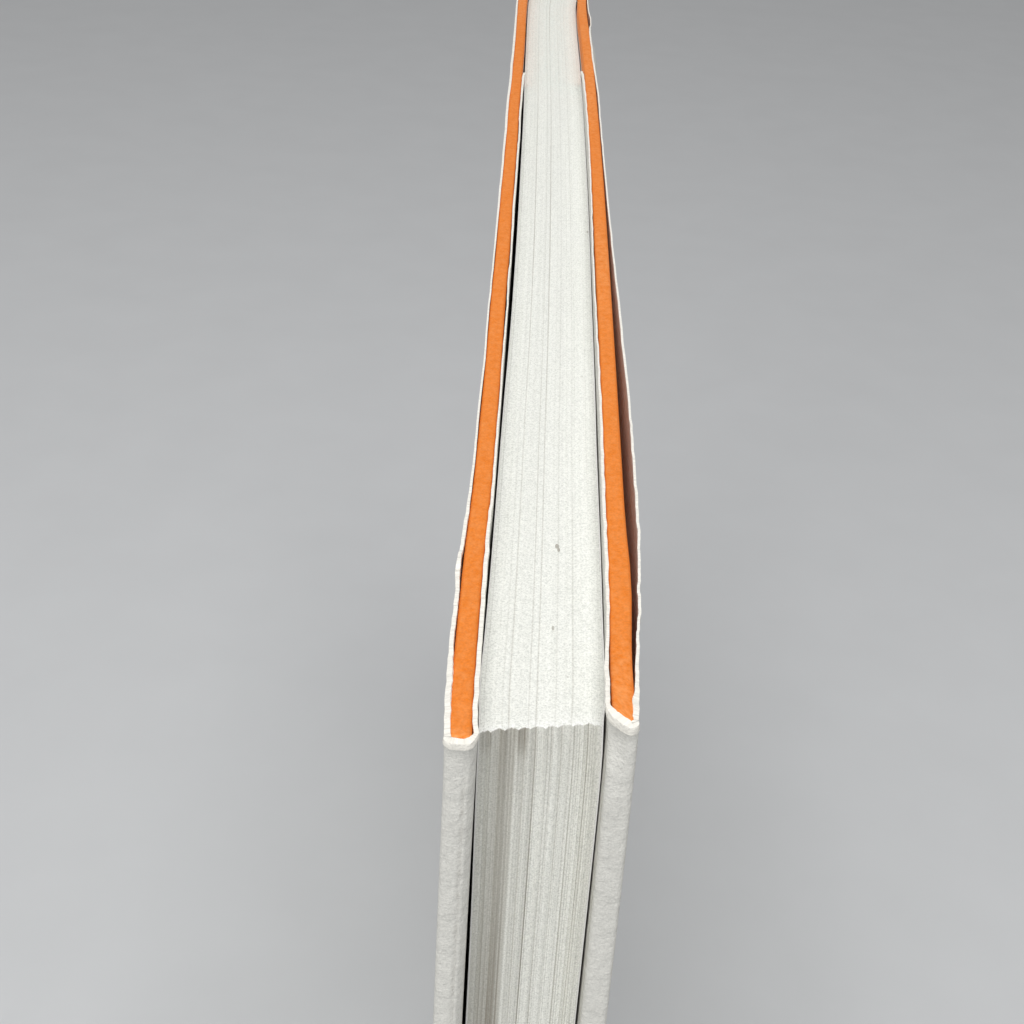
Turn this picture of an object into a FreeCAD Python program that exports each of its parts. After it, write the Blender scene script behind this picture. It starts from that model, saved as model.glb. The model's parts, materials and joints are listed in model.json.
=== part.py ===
import FreeCAD, Part
import os
import Sketcher

# A case-bound book in a paper dust jacket, standing on its tail edge.
#
# X runs through the thickness: the front cover is on the -X side, the back
# cover on the +X side.  Y runs from the fore-edge to the spine.  Z is up, from
# tail to head.  The origin is the middle of the footprint, on the ground.
#
# The binding has gone askew with use: the further a leaf lies towards the back
# cover, the further it has slid towards the spine.  The value "skew" is that
# slide per millimetre of thickness, and it slants the fore-edge and the spine.
#
# Every body is drawn in plan, with y = 0 at the fore-edge of the middle leaf,
# and its Placement moves it so that the origin is the middle of the footprint.

doc = FreeCAD.newDocument("hardcover_book")

SIZES = [
    ("page_width", 305.0, "fore-edge to the tips of the section folds"),
    ("page_height", 254.0, "tail to head of a leaf"),
    ("section_count", 10, "folded sections sewn into the text block"),
    ("section_thickness", 1.17, "one folded section of 16 pages"),
    ("fold_rise", 0.4, "how far a section's fold rounds out"),
    ("fore_hollow", 0.25, "how far a section's fore-edge hollows in"),
    ("skew", 0.2, "slide towards the spine for each mm of thickness"),
    ("endpaper_thickness", 0.15, "flyleaf and pastedown"),
    ("square_fore", 4.0, "cover beyond the leaves at the fore-edge"),
    ("square_head", 3.2, "cover beyond the leaves at head and tail"),
    ("board_thickness", 1.9, "greyboard of a cover"),
    ("covering_thickness", 0.15, "coloured covering of the case"),
    ("turn_in", 15.0, "covering turned over inside a cover"),
    ("pastedown_margin", 3.0, "covering left bare round the pastedown"),
    ("inlay_thickness", 1.5, "stiff strip inside the spine"),
    ("joint_width", 5.0, "board edge to spine inlay"),
    ("groove_width", 2.6, "flat floor of the joint groove"),
    ("groove_radius", 1.0, "bend of the covering out of the groove"),
    ("mull_thickness", 0.25, "open cloth glued over the folds"),
    ("mull_inset", 12.0, "mull short of the head and of the tail"),
    ("mull_flange", 3.5, "mull carried round the shoulder"),
    ("lining_thickness", 0.3, "paper glued over the mull"),
    ("lining_inset", 2.0, "lining short of the head and of the tail"),
    ("hollow_gap", 0.7, "hollow between the lining and the inlay"),
    ("bead_radius", 0.8, "rolled edge of a headband"),
    ("tape_thickness", 0.3, "woven tape of a headband"),
    ("tape_length", 8.0, "headband tape down the spine"),
    ("jacket_thickness", 0.2, "dust jacket paper"),
    ("jacket_lift", 0.5, "jacket short of the ground"),
    ("flap_length", 216.0, "jacket turned in behind a cover"),
    ("fold_radius", 0.6, "outside radius where the jacket folds"),
    ("jacket_cut", 0.15, "half gap between jacket pieces at a joint"),
    ("pivot_out", 0.15, "joint axis outside the jacket"),
    ("opening_gap", 0.3, "flyleaf to jacket flap"),
    ("flap_slack", 0.05, "jacket flap to pastedown"),
    ("panel_slack", 0.05, "covering to jacket"),
    ("groove_slack", 0.05, "mull to the covering in the groove"),
    ("cover_gap", 0.3, "covering of a cover to that of the spine"),
]

# Distances from the middle of the thickness outwards, then from the fore-edge
# of the middle leaf towards the spine, then heights above the ground.
LEVELS = [
    ("block_half", "Sizes.section_count * Sizes.section_thickness / 2 + Sizes.endpaper_thickness"),
    ("leaf_half", "block_half - Sizes.endpaper_thickness"),
    ("mull_out", "block_half + Sizes.mull_thickness"),
    ("groove_in", "mull_out + Sizes.groove_slack"),
    ("groove_out", "groove_in + Sizes.covering_thickness"),
    ("flap_in", "block_half + Sizes.opening_gap"),
    ("flap_out", "flap_in + Sizes.jacket_thickness"),
    ("paste_in", "flap_out + Sizes.flap_slack"),
    ("paste_out", "paste_in + Sizes.endpaper_thickness"),
    ("board_in", "paste_out + Sizes.covering_thickness"),
    ("board_out", "board_in + Sizes.board_thickness"),
    ("cover_out", "board_out + Sizes.covering_thickness"),
    ("jacket_in", "cover_out + Sizes.panel_slack"),
    ("jacket_out", "jacket_in + Sizes.jacket_thickness"),
    ("pivot_x", "jacket_out + Sizes.pivot_out"),
    ("cover_slide", "Sizes.skew * cover_out"),

    ("fold_base", "Sizes.page_width - Sizes.fold_rise"),
    ("mull_back", "Sizes.page_width + Sizes.mull_thickness"),
    ("lining_back", "mull_back + Sizes.lining_thickness"),
    ("inlay_in", "lining_back + Sizes.hollow_gap"),
    ("inlay_out", "inlay_in + Sizes.inlay_thickness"),
    ("spine_out", "inlay_out + Sizes.covering_thickness"),
    ("wrap_in", "spine_out + Sizes.panel_slack"),
    ("wrap_out", "wrap_in + Sizes.jacket_thickness"),
    ("cover_front", "-Sizes.square_fore"),
    ("board_front", "cover_front + Sizes.covering_thickness"),
    ("board_back", "inlay_in - Sizes.joint_width"),
    ("cover_back", "board_back + Sizes.covering_thickness"),
    ("groove_front", "cover_back + Sizes.cover_gap"),
    ("groove_back", "groove_front + Sizes.groove_width"),
    ("pivot_y", "board_back + Sizes.joint_width / 2"),
    ("crease_in", "cover_front - Sizes.panel_slack"),
    ("crease_out", "crease_in - Sizes.jacket_thickness"),
    ("flap_end", "crease_out + Sizes.flap_length"),

    ("wrap_slope", "cover_slide / jacket_out"),
    ("corner_lean", "wrap_slope * (jacket_out - Sizes.fold_radius)"),
    ("corner_loss", "Sizes.fold_radius * (sqrt(1 + wrap_slope ^ 2) - 1)"),
    ("spine_reach", "wrap_out + corner_lean - corner_loss"),
    ("fore_reach", "crease_out - cover_slide"),
    ("middle", "(spine_reach + fore_reach) / 2"),
    ("lean_angle", "atan(Sizes.skew)"),
    ("stretch", "sqrt(1 + Sizes.skew ^ 2)"),
    ("fold_sagitta", "Sizes.fold_rise / stretch"),
    ("fore_sagitta", "Sizes.fore_hollow / stretch"),
    ("fold_chord", "Sizes.section_thickness * stretch"),
    ("covering_round", "Sizes.fold_radius - Sizes.jacket_thickness - Sizes.panel_slack"),

    ("block_tail", "Sizes.square_head"),
    ("block_head", "block_tail + Sizes.page_height"),
    ("book_height", "block_head + Sizes.square_head"),
    ("board_height", "book_height - 2 * Sizes.covering_thickness"),
    ("jacket_height", "book_height - Sizes.jacket_lift"),
]


def fill_sheet(name, rows):
    """A sheet with one alias in each row: its label, its value and a note."""
    sheet = doc.addObject("Spreadsheet::Sheet", name)
    for number, (alias, value, *note) in enumerate(rows, start=1):
        sheet.set(f"A{number}", alias)
        sheet.set(f"B{number}", f"={value}" if isinstance(value, str) else str(value))
        sheet.setAlias(f"B{number}", alias)
        if note:
            sheet.set(f"C{number}", note[0])
    doc.recompute()
    return sheet


sizes = fill_sheet("Sizes", SIZES)
levels = fill_sheet("Levels", LEVELS)

FRONT = -1
BACK = 1
SIDES = [("front", FRONT), ("back", BACK)]


def value_of(expression):
    """The number that an expression on the two sheets gives now."""
    return float(levels.evalExpression(expression))


def size(alias):
    return f"Sizes.{alias}"


def level(alias):
    return f"Levels.{alias}"


def outward(side, alias):
    """A distance from the middle of the thickness, towards one cover."""
    return f"{side} * Levels.{alias}"


def slid(side, alias):
    """A place from fore-edge to spine, slid along with one cover."""
    return f"Levels.{alias} + {side} * Levels.cover_slide"


def leaned(side, alias, at):
    """A place from fore-edge to spine on a leaf that lies `at` from the middle."""
    return f"{alias} + {side} * Sizes.skew * Levels.{at}"


# ---------------------------------------------------------------- construction

def new_body(name):
    """A body whose plan is drawn from the fore-edge of the middle leaf."""
    body = doc.addObject("PartDesign::Body", name)
    body.setExpression("Placement.Base.y", "-Levels.middle")
    return body


def new_sketch(body, role, name, height=None):
    """An empty sketch on an origin plane of its own body."""
    plane = next(item for item in body.Origin.OriginFeatures if item.Role == role)
    sketch = body.newObject("Sketcher::SketchObject", name)
    sketch.AttachmentSupport = [(plane, "")]
    sketch.MapMode = "FlatFace"
    if height is not None:
        sketch.setExpression("AttachmentOffset.Base.z", height)
    return sketch


def hold(sketch, kind, geometry, point, expression):
    """Fixes one coordinate of a point, measured from the sketch's origin."""
    number = sketch.addConstraint(
        Sketcher.Constraint(kind, -1, 1, geometry, point, value_of(expression)))
    sketch.setExpression(f"Constraints[{number}]", expression)


def draw_outline(sketch, corners):
    """A closed outline of straight lines; each corner is a pair of expressions."""
    places = [FreeCAD.Vector(value_of(a), value_of(b), 0) for a, b in corners]
    count = len(places)
    for number, start in enumerate(places):
        sketch.addGeometry(Part.LineSegment(start, places[(number + 1) % count]))
    for number in range(count):
        sketch.addConstraint(
            Sketcher.Constraint("Coincident", number, 2, (number + 1) % count, 1))
    for number, (across, along) in enumerate(corners):
        hold(sketch, "DistanceX", number, 1, across)
        hold(sketch, "DistanceY", number, 1, along)


def pad(body, sketch, length, name, midplane=False):
    feature = body.newObject("PartDesign::Pad", name)
    feature.Profile = sketch
    feature.setExpression("Length", length)
    feature.Midplane = midplane
    sketch.Visibility = False
    body.Tip = feature
    return feature


def plan_pad(body, name, corners, low, height):
    """A flat-topped solid over an outline drawn in plan."""
    sketch = new_sketch(body, "XY_Plane", f"{name}Plan", low)
    draw_outline(sketch, corners)
    return pad(body, sketch, height, name)


def plan_pocket(body, name, corners, low, height):
    """A hollow over an outline drawn in plan, cut upwards from `low`."""
    sketch = new_sketch(body, "XY_Plane", f"{name}Plan", low)
    draw_outline(sketch, corners)
    feature = body.newObject("PartDesign::Pocket", name)
    feature.Profile = sketch
    feature.Reversed = True
    feature.setExpression("Length", height)
    sketch.Visibility = False
    body.Tip = feature
    return feature


def plan_box(side, near, far, front, back):
    """A rectangle in plan, in one cover."""
    slide = f" + {side} * Levels.cover_slide"
    return [
        (f"{side} * ({near})", front + slide),
        (f"{side} * ({far})", front + slide),
        (f"{side} * ({far})", back + slide),
        (f"{side} * ({near})", back + slide),
    ]


def round_corners(body, base, name, places, radius):
    """Rounds the upright edges of a padded plan that stand at the given places."""
    doc.recompute()
    found = []
    for number, edge in enumerate(base.Shape.Edges, start=1):
        upright = len(edge.Vertexes) == 2 and abs(edge.tangentAt(edge.FirstParameter).z) > 0.99
        if upright and any(is_at(edge, across, along) for across, along in places):
            found.append(f"Edge{number}")
    assert len(found) == len(places), f"{name}: {len(found)} of {len(places)} edges"
    feature = body.newObject("PartDesign::Fillet", name)
    feature.Base = (base, found)
    feature.setExpression("Radius", radius)
    body.Tip = feature
    return feature


def is_at(edge, across, along):
    point = edge.Vertexes[0].Point
    return abs(point.x - value_of(across)) < 1e-4 and abs(point.y - value_of(along)) < 1e-4


def slab(name, side, near, far, front, back, low, high):
    """A box in one cover: thickness from `near` to `far`, then depth and height."""
    box = doc.addObject("Part::Box", name)
    start = near if side == BACK else far
    box.setExpression("Length", f"{far} - ({near})")
    box.setExpression("Width", f"{back} - ({front})")
    box.setExpression("Height", f"{high} - ({low})")
    box.setExpression("Placement.Base.x", f"{side} * ({start})")
    box.setExpression("Placement.Base.y", f"{front} + {side} * Levels.cover_slide - Levels.middle")
    box.setExpression("Placement.Base.z", low)
    return box


def cut(name, base, tool):
    feature = doc.addObject("Part::Cut", name)
    feature.Base = base
    feature.Tool = tool
    return feature


def join(name, shapes):
    feature = doc.addObject("Part::MultiFuse", name)
    feature.Shapes = shapes
    return feature


# ------------------------------------------------------------------ text block

def arc_radius(sagitta):
    """Radius of the arc that spans one leaning section and rises by a sagitta."""
    return f"(Levels.fold_chord ^ 2 / 4 + Levels.{sagitta} ^ 2) / (2 * Levels.{sagitta})"


def hold_radius(sketch, geometry, expression):
    number = sketch.addConstraint(
        Sketcher.Constraint("Radius", geometry, value_of(expression)))
    sketch.setExpression(f"Constraints[{number}]", expression)


def make_text_block():
    """Sewn sections side by side: hollow at the fore-edge, a round fold at the spine."""
    body = new_body("text_block")
    sketch = new_sketch(body, "XY_Plane", "SectionPlan", level("block_tail"))
    first = "-Levels.leaf_half"
    second = "-Levels.leaf_half + Sizes.section_thickness"
    outline = [
        (first, f"Sizes.skew * ({first})"),
        (second, f"Sizes.skew * ({second})"),
        (second, f"Levels.fold_base + Sizes.skew * ({second})"),
        (first, f"Levels.fold_base + Sizes.skew * ({first})"),
    ]
    places = [FreeCAD.Vector(value_of(a), value_of(b), 0) for a, b in outline]
    spinewards = FreeCAD.Vector(-value_of(size("skew")), 1, 0).normalize()
    hollow = (places[0] + places[1]) / 2 + spinewards * value_of(level("fore_sagitta"))
    crown = (places[2] + places[3]) / 2 + spinewards * value_of(level("fold_sagitta"))

    fore_edge = sketch.addGeometry(Part.Arc(places[1], hollow, places[0]))
    last_leaf = sketch.addGeometry(Part.LineSegment(places[1], places[2]))
    fold = sketch.addGeometry(Part.Arc(places[2], crown, places[3]))
    first_leaf = sketch.addGeometry(Part.LineSegment(places[3], places[0]))
    lean_line = sketch.addGeometry(Part.LineSegment(places[0], places[1]), True)
    sketch.addConstraint(Sketcher.Constraint("Coincident", fore_edge, 1, last_leaf, 1))
    sketch.addConstraint(Sketcher.Constraint("Coincident", last_leaf, 2, fold, 1))
    sketch.addConstraint(Sketcher.Constraint("Coincident", fold, 2, first_leaf, 1))
    sketch.addConstraint(Sketcher.Constraint("Coincident", first_leaf, 2, fore_edge, 2))
    sketch.addConstraint(Sketcher.Constraint("Coincident", lean_line, 1, first_leaf, 2))
    sketch.addConstraint(Sketcher.Constraint("Coincident", lean_line, 2, last_leaf, 1))
    ends = [(first_leaf, 2), (last_leaf, 1), (last_leaf, 2), (first_leaf, 1)]
    for (geometry, point), (across, along) in zip(ends, outline):
        hold(sketch, "DistanceX", geometry, point, across)
        hold(sketch, "DistanceY", geometry, point, along)
    hold_radius(sketch, fore_edge, arc_radius("fore_sagitta"))
    hold_radius(sketch, fold, arc_radius("fold_sagitta"))
    section = pad(body, sketch, size("page_height"), "Section")

    sections = body.newObject("PartDesign::LinearPattern", "Sections")
    sections.Originals = [section]
    sections.Direction = (sketch, ["Axis0"])
    sections.setExpression("Length", "(Sizes.section_count - 1) * Levels.fold_chord")
    sections.setExpression("Occurrences", size("section_count"))
    body.Tip = sections
    return body


def make_flyleaf(name, side):
    """The free leaf of an endpaper, tipped to the outermost section."""
    body = new_body(f"{name}_flyleaf")
    corners = [
        (outward(side, "leaf_half"), leaned(side, "0", "leaf_half")),
        (outward(side, "block_half"), leaned(side, "0", "block_half")),
        (outward(side, "block_half"), leaned(side, "Levels.fold_base", "block_half")),
        (outward(side, "leaf_half"), leaned(side, "Levels.fold_base", "leaf_half")),
    ]
    plan_pad(body, "Leaf", corners, level("block_tail"), size("page_height"))
    return body


# --------------------------------------------------------------- spine linings

def strip_corners(half, near, far):
    """A strip across the spine that leans with the leaves."""
    return [
        (outward(FRONT, half), leaned(FRONT, near, half)),
        (outward(BACK, half), leaned(BACK, near, half)),
        (outward(BACK, half), leaned(BACK, far, half)),
        (outward(FRONT, half), leaned(FRONT, far, half)),
    ]


def make_mull():
    """Open cloth over the folds, carried round both shoulders of the block."""
    body = new_body("spine_mull")
    shoulder = f"{level('mull_back')} - {size('mull_thickness')}"
    flange_end = f"{level('mull_back')} - {size('mull_flange')}"
    corners = [
        (outward(FRONT, "mull_out"), leaned(FRONT, flange_end, "mull_out")),
        (outward(FRONT, "block_half"), leaned(FRONT, flange_end, "mull_out")),
        (outward(FRONT, "block_half"), leaned(FRONT, shoulder, "block_half")),
        (outward(BACK, "block_half"), leaned(BACK, shoulder, "block_half")),
        (outward(BACK, "block_half"), leaned(BACK, flange_end, "mull_out")),
        (outward(BACK, "mull_out"), leaned(BACK, flange_end, "mull_out")),
        (outward(BACK, "mull_out"), leaned(BACK, level("mull_back"), "mull_out")),
        (outward(FRONT, "mull_out"), leaned(FRONT, level("mull_back"), "mull_out")),
    ]
    low = f"{level('block_tail')} + {size('mull_inset')}"
    height = f"{size('page_height')} - 2 * {size('mull_inset')}"
    plan_pad(body, "Mull", corners, low, height)
    return body


def make_lining():
    """Strong paper over the mull, as wide as the folds."""
    body = new_body("spine_lining")
    low = f"{level('block_tail')} + {size('lining_inset')}"
    height = f"{size('page_height')} - 2 * {size('lining_inset')}"
    corners = strip_corners("leaf_half", level("mull_back"), level("lining_back"))
    plan_pad(body, "Lining", corners, low, height)
    return body


def make_headband(name, end, edge):
    """A woven tape with a rolled bead that sits on the end of the folds."""
    body = doc.addObject("PartDesign::Body", name)
    body.setExpression("Placement", (
        "placement(vector(0; Levels.lining_back - Levels.middle; {edge});"
        " rotation(vector(0; 0; 1); Levels.lean_angle))").format(edge=level(edge)))
    width = "2 * Levels.leaf_half * Levels.stretch"

    tape = new_sketch(body, "YZ_Plane", "TapeSide")
    draw_outline(tape, [
        ("0", f"{-end} * {size('tape_length')}"),
        (size("tape_thickness"), f"{-end} * {size('tape_length')}"),
        (size("tape_thickness"), f"{end} * {size('bead_radius')}"),
        ("0", f"{end} * {size('bead_radius')}"),
    ])
    pad(body, tape, width, "Tape", midplane=True)

    bead = new_sketch(body, "YZ_Plane", "BeadSide")
    across = f"{size('tape_thickness')} - {size('bead_radius')}"
    along = f"{end} * {size('bead_radius')}"
    centre = FreeCAD.Vector(value_of(across), value_of(along), 0)
    radius = value_of(size("bead_radius"))
    circle = bead.addGeometry(Part.Circle(centre, FreeCAD.Vector(0, 0, 1), radius))
    hold_radius(bead, circle, size("bead_radius"))
    hold(bead, "DistanceX", circle, 3, across)
    hold(bead, "DistanceY", circle, 3, along)
    pad(body, bead, width, "Bead", midplane=True)
    return body


# ------------------------------------------------------------------ spine case

def across_spine(half, place):
    """The two ends of a line across the spine, each slid with its cover."""
    return [
        (outward(FRONT, half), slid(FRONT, place)),
        (outward(BACK, half), slid(BACK, place)),
    ]


def make_inlay():
    """The stiff strip that holds the spine flat."""
    body = new_body("spine_inlay")
    corners = across_spine("board_out", "inlay_in") + across_spine("board_out", "inlay_out")[::-1]
    plan_pad(body, "Strip", corners, size("covering_thickness"), level("board_height"))
    return body


def make_spine_covering():
    """Covering round the spine inlay, with a groove for the joint on each side."""
    body = new_body("spine_covering")

    def half_path(side):
        """Outer face then inner face of one side, from the spine to the groove's end."""
        outer = [
            (outward(side, "cover_out"), slid(side, "spine_out")),
            (outward(side, "cover_out"), slid(side, "inlay_in")),
            (outward(side, "groove_out"), slid(side, "groove_back")),
            (outward(side, "groove_out"), slid(side, "groove_front")),
        ]
        inner = [
            (outward(side, "groove_in"), slid(side, "groove_front")),
            (outward(side, "groove_in"), slid(side, "groove_back")
             + f" + {size('covering_thickness')}"),
            (outward(side, "board_out"), slid(side, "inlay_in")),
            (outward(side, "board_out"), slid(side, "inlay_out")),
        ]
        return outer + inner

    corners = half_path(FRONT) + half_path(BACK)[::-1]
    sheet = plan_pad(body, "Covering", corners, "0", level("book_height"))
    spine_edges = [corners[0], corners[-1]]
    edges = round_corners(body, sheet, "SpineEdges", spine_edges, level("covering_round"))
    inner_bends = [corners[5], corners[-6]]
    bends = round_corners(body, edges, "GrooveInside", inner_bends, size("groove_radius"))
    outer_bends = [corners[2], corners[-3]]
    outer_radius = f"{size('groove_radius')} - {size('covering_thickness')}"
    round_corners(body, bends, "GrooveOutside", outer_bends, outer_radius)

    cap = across_spine("board_out", "inlay_in") + across_spine("board_out", "inlay_out")[::-1]
    inside = f" - {size('covering_thickness')}"
    lip = [(x, y + inside) for x, y in across_spine("board_out", "inlay_in")]
    lip += across_spine("board_out", "inlay_in")[::-1]
    top = f"{level('book_height')} - "
    thick = size("covering_thickness")
    plan_pad(body, "TailCap", cap, "0", thick)
    plan_pad(body, "HeadCap", cap, top + thick, thick)
    plan_pad(body, "TailTurnIn", lip, "0", size("turn_in"))
    plan_pad(body, "HeadTurnIn", lip, top + size("turn_in"), size("turn_in"))
    return body


# ---------------------------------------------------------------------- covers

def make_board(name, side):
    """Greyboard of one cover."""
    board = slab(f"{name}_board", side, level("board_in"), level("board_out"),
                 level("board_front"), level("board_back"),
                 size("covering_thickness"),
                 f"{level('book_height')} - {size('covering_thickness')}")
    return board


def make_covering(name, side):
    """Covering wrapped round a board, turned in on three sides."""
    body = new_body(f"{name}_covering")
    thick = size("covering_thickness")
    turn = size("turn_in")
    outside = plan_box(side, level("paste_out"), level("cover_out"),
                       level("cover_front"), level("cover_back"))
    board = plan_box(side, level("board_in"), level("board_out"),
                     level("board_front"), level("board_back"))
    window = plan_box(side, level("paste_out"), level("board_in"),
                      f"{level('cover_front')} + {turn}", level("cover_back"))
    wrapped = plan_pad(body, "Wrapped", outside, "0", level("book_height"))
    round_corners(body, wrapped, "ForeEdge", outside[:2], level("covering_round"))
    plan_pocket(body, "Hollow", board, thick, level("board_height"))
    plan_pocket(body, "Window", window, turn, f"{level('book_height')} - 2 * {turn}")
    return body


def make_pastedown(name, side):
    """The glued leaf of an endpaper: it dips between the turned-in edges."""
    title = name.capitalize()
    margin = size("pastedown_margin")
    turn = size("turn_in")
    step = size("endpaper_thickness")
    sheet = slab(f"{title}PastedownSheet", side, level("paste_in"), level("paste_out"),
                 f"{level('cover_front')} + {margin}", level("board_back"),
                 margin, f"{level('book_height')} - {margin}")
    sunk = slab(f"{title}PastedownSunk", side, level("paste_out"), level("board_in"),
                f"{level('cover_front')} + {turn}", level("board_back"),
                turn, f"{level('book_height')} - {turn}")
    dip = slab(f"{title}PastedownDip", side, level("paste_in"), level("paste_out"),
               f"{level('cover_front')} + {turn} + {step}", f"{level('board_back')} - {step}",
               f"{turn} + {step}", f"{level('book_height')} - {turn} - {step}")
    return join(f"{name}_pastedown", [cut(f"{title}PastedownFrame", sheet, dip), sunk])


# ---------------------------------------------------------------------- jacket

def make_jacket_wrap(name, side):
    """Jacket over the outside of a cover, folded round its fore-edge and in."""
    body = new_body(f"{name}_jacket_wrap")
    panel_end = f"{slid(side, 'pivot_y')} - {size('jacket_cut')}"
    corners = [
        (outward(side, "jacket_out"), panel_end),
        (outward(side, "jacket_out"), slid(side, "crease_out")),
        (outward(side, "flap_in"), slid(side, "crease_out")),
        (outward(side, "flap_in"), slid(side, "flap_end")),
        (outward(side, "flap_out"), slid(side, "flap_end")),
        (outward(side, "flap_out"), slid(side, "crease_in")),
        (outward(side, "jacket_in"), slid(side, "crease_in")),
        (outward(side, "jacket_in"), panel_end),
    ]
    sheet = plan_pad(body, "Sheet", corners, size("jacket_lift"), level("jacket_height"))
    outer = round_corners(body, sheet, "OuterFold", corners[1:3], size("fold_radius"))
    inner_radius = f"{size('fold_radius')} - {size('jacket_thickness')}"
    round_corners(body, outer, "InnerFold", corners[5:7], inner_radius)
    return body


def make_jacket_spine():
    """Jacket round the spine, from one joint to the other."""
    body = new_body("jacket_spine")

    def end_of(side):
        return f"{slid(side, 'pivot_y')} + {size('jacket_cut')}"

    outer = across_spine("jacket_out", "wrap_out")
    inner = across_spine("jacket_in", "wrap_in")
    corners = [
        (outward(FRONT, "jacket_in"), end_of(FRONT)),
        (outward(FRONT, "jacket_out"), end_of(FRONT)),
        outer[0],
        outer[1],
        (outward(BACK, "jacket_out"), end_of(BACK)),
        (outward(BACK, "jacket_in"), end_of(BACK)),
        inner[1],
        inner[0],
    ]
    sheet = plan_pad(body, "Sheet", corners, size("jacket_lift"), level("jacket_height"))
    outer_fold = round_corners(body, sheet, "OuterFold", outer, size("fold_radius"))
    inner_radius = f"{size('fold_radius')} - {size('jacket_thickness')}"
    round_corners(body, outer_fold, "InnerFold", inner, inner_radius)
    return body


# -------------------------------------------------------------------- assembly

HEAD = 1
TAIL = -1

nodes = [
    make_text_block(),
    make_mull(),
    make_lining(),
    make_headband("headband", HEAD, "block_head"),
    make_headband("tailband", TAIL, "block_tail"),
    make_inlay(),
    make_spine_covering(),
    make_jacket_spine(),
]
for side_name, side_sign in SIDES:
    nodes.append(make_flyleaf(side_name, side_sign))
    nodes.append(make_board(side_name, side_sign))
    nodes.append(make_covering(side_name, side_sign))
    nodes.append(make_pastedown(side_name, side_sign))
    nodes.append(make_jacket_wrap(side_name, side_sign))

doc.recompute()

for item in doc.Objects:
    failed = {"Invalid", "Error"} & set(item.State)
    assert not failed, f"{item.Name}: {item.State}"
for node in nodes:
    node.Label = node.Name
    assert not node.Shape.isNull() and node.Shape.isValid(), f"{node.Name}: bad shape"
    assert len(node.Shape.Solids) == 1, f"{node.Name}: {len(node.Shape.Solids)} solids"

os.makedirs("parts", exist_ok=True)
for node in nodes:
    node.Shape.exportStep(f"parts/{node.Label}.step")
    box = node.Shape.BoundBox
    print(f"{node.Label:20s} {node.Shape.Volume:12.2f} mm3   "
          f"x {box.XMin:8.3f} {box.XMax:8.3f}   y {box.YMin:8.3f} {box.YMax:8.3f}   "
          f"z {box.ZMin:8.3f} {box.ZMax:8.3f}")
for alias in ("pivot_x", "pivot_y", "cover_slide", "middle", "book_height"):
    print(f"{alias} {value_of(level(alias)):.4f}")
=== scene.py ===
import json
import math

import bpy
import numpy as np
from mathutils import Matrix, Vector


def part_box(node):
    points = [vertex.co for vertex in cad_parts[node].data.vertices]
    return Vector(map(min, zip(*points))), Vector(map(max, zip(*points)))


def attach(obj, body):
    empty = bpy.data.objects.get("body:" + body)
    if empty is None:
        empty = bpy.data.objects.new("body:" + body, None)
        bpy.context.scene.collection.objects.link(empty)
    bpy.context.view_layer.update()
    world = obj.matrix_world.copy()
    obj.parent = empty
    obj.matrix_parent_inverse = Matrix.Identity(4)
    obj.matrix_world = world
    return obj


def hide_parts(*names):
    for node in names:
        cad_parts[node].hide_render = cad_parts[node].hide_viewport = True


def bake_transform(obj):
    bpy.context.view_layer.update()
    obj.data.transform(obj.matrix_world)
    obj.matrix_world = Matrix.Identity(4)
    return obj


bl_info = {
    "name": "Hardcover Book",
    "version": (1, 0, 0),
    "blender": (4, 5, 0),
    "location": "3D View > Sidebar > Book",
    "description": "Pages, case and dust jacket of a hardcover book, built round its CAD frame",
    "category": "Object",
}

# Shapes are worked out in millimetres in the book's own directions and turned
# into metres when a mesh is made.  For a cover, `out` is the distance from the
# middle of the thickness towards that cover, `deep` runs from the fore-edge to
# the spine, and `up` is the height above the ground.

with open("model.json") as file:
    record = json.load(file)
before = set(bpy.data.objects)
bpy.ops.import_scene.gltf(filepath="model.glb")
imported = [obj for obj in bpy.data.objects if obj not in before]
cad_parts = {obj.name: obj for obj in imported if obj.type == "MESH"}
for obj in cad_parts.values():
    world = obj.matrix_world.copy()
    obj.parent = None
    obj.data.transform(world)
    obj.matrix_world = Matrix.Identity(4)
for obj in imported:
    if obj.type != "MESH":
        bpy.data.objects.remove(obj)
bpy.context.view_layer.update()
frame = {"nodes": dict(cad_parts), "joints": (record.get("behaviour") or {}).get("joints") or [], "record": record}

MM = 0.001
FRONT = -1
BACK = 1
SIDES = {"front": FRONT, "back": BACK}
JOINTS = {joint["child"]: joint for joint in frame["joints"]}
RECORD_COLOURS = {row["slot"]: tuple(row["base_color"]) for row in frame["record"]["materials"]}


def box_mm(node):
    """A node's lowest and highest corner at rest, in millimetres."""
    low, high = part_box(node)
    return np.array(low) / MM, np.array(high) / MM


BLOCK_LOW, BLOCK_HIGH = box_mm("text_block")
FLY_FRONT = box_mm("front_flyleaf")[0]
COVER_LOW, COVER_HIGH = box_mm("back_covering")
BOARD_HIGH = box_mm("back_board")[1]
PASTE_LOW, PASTE_HIGH = box_mm("back_pastedown")
WRAP_LOW, WRAP_HIGH = box_mm("back_jacket_wrap")
INLAY_LOW, INLAY_HIGH = box_mm("spine_inlay")

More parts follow.
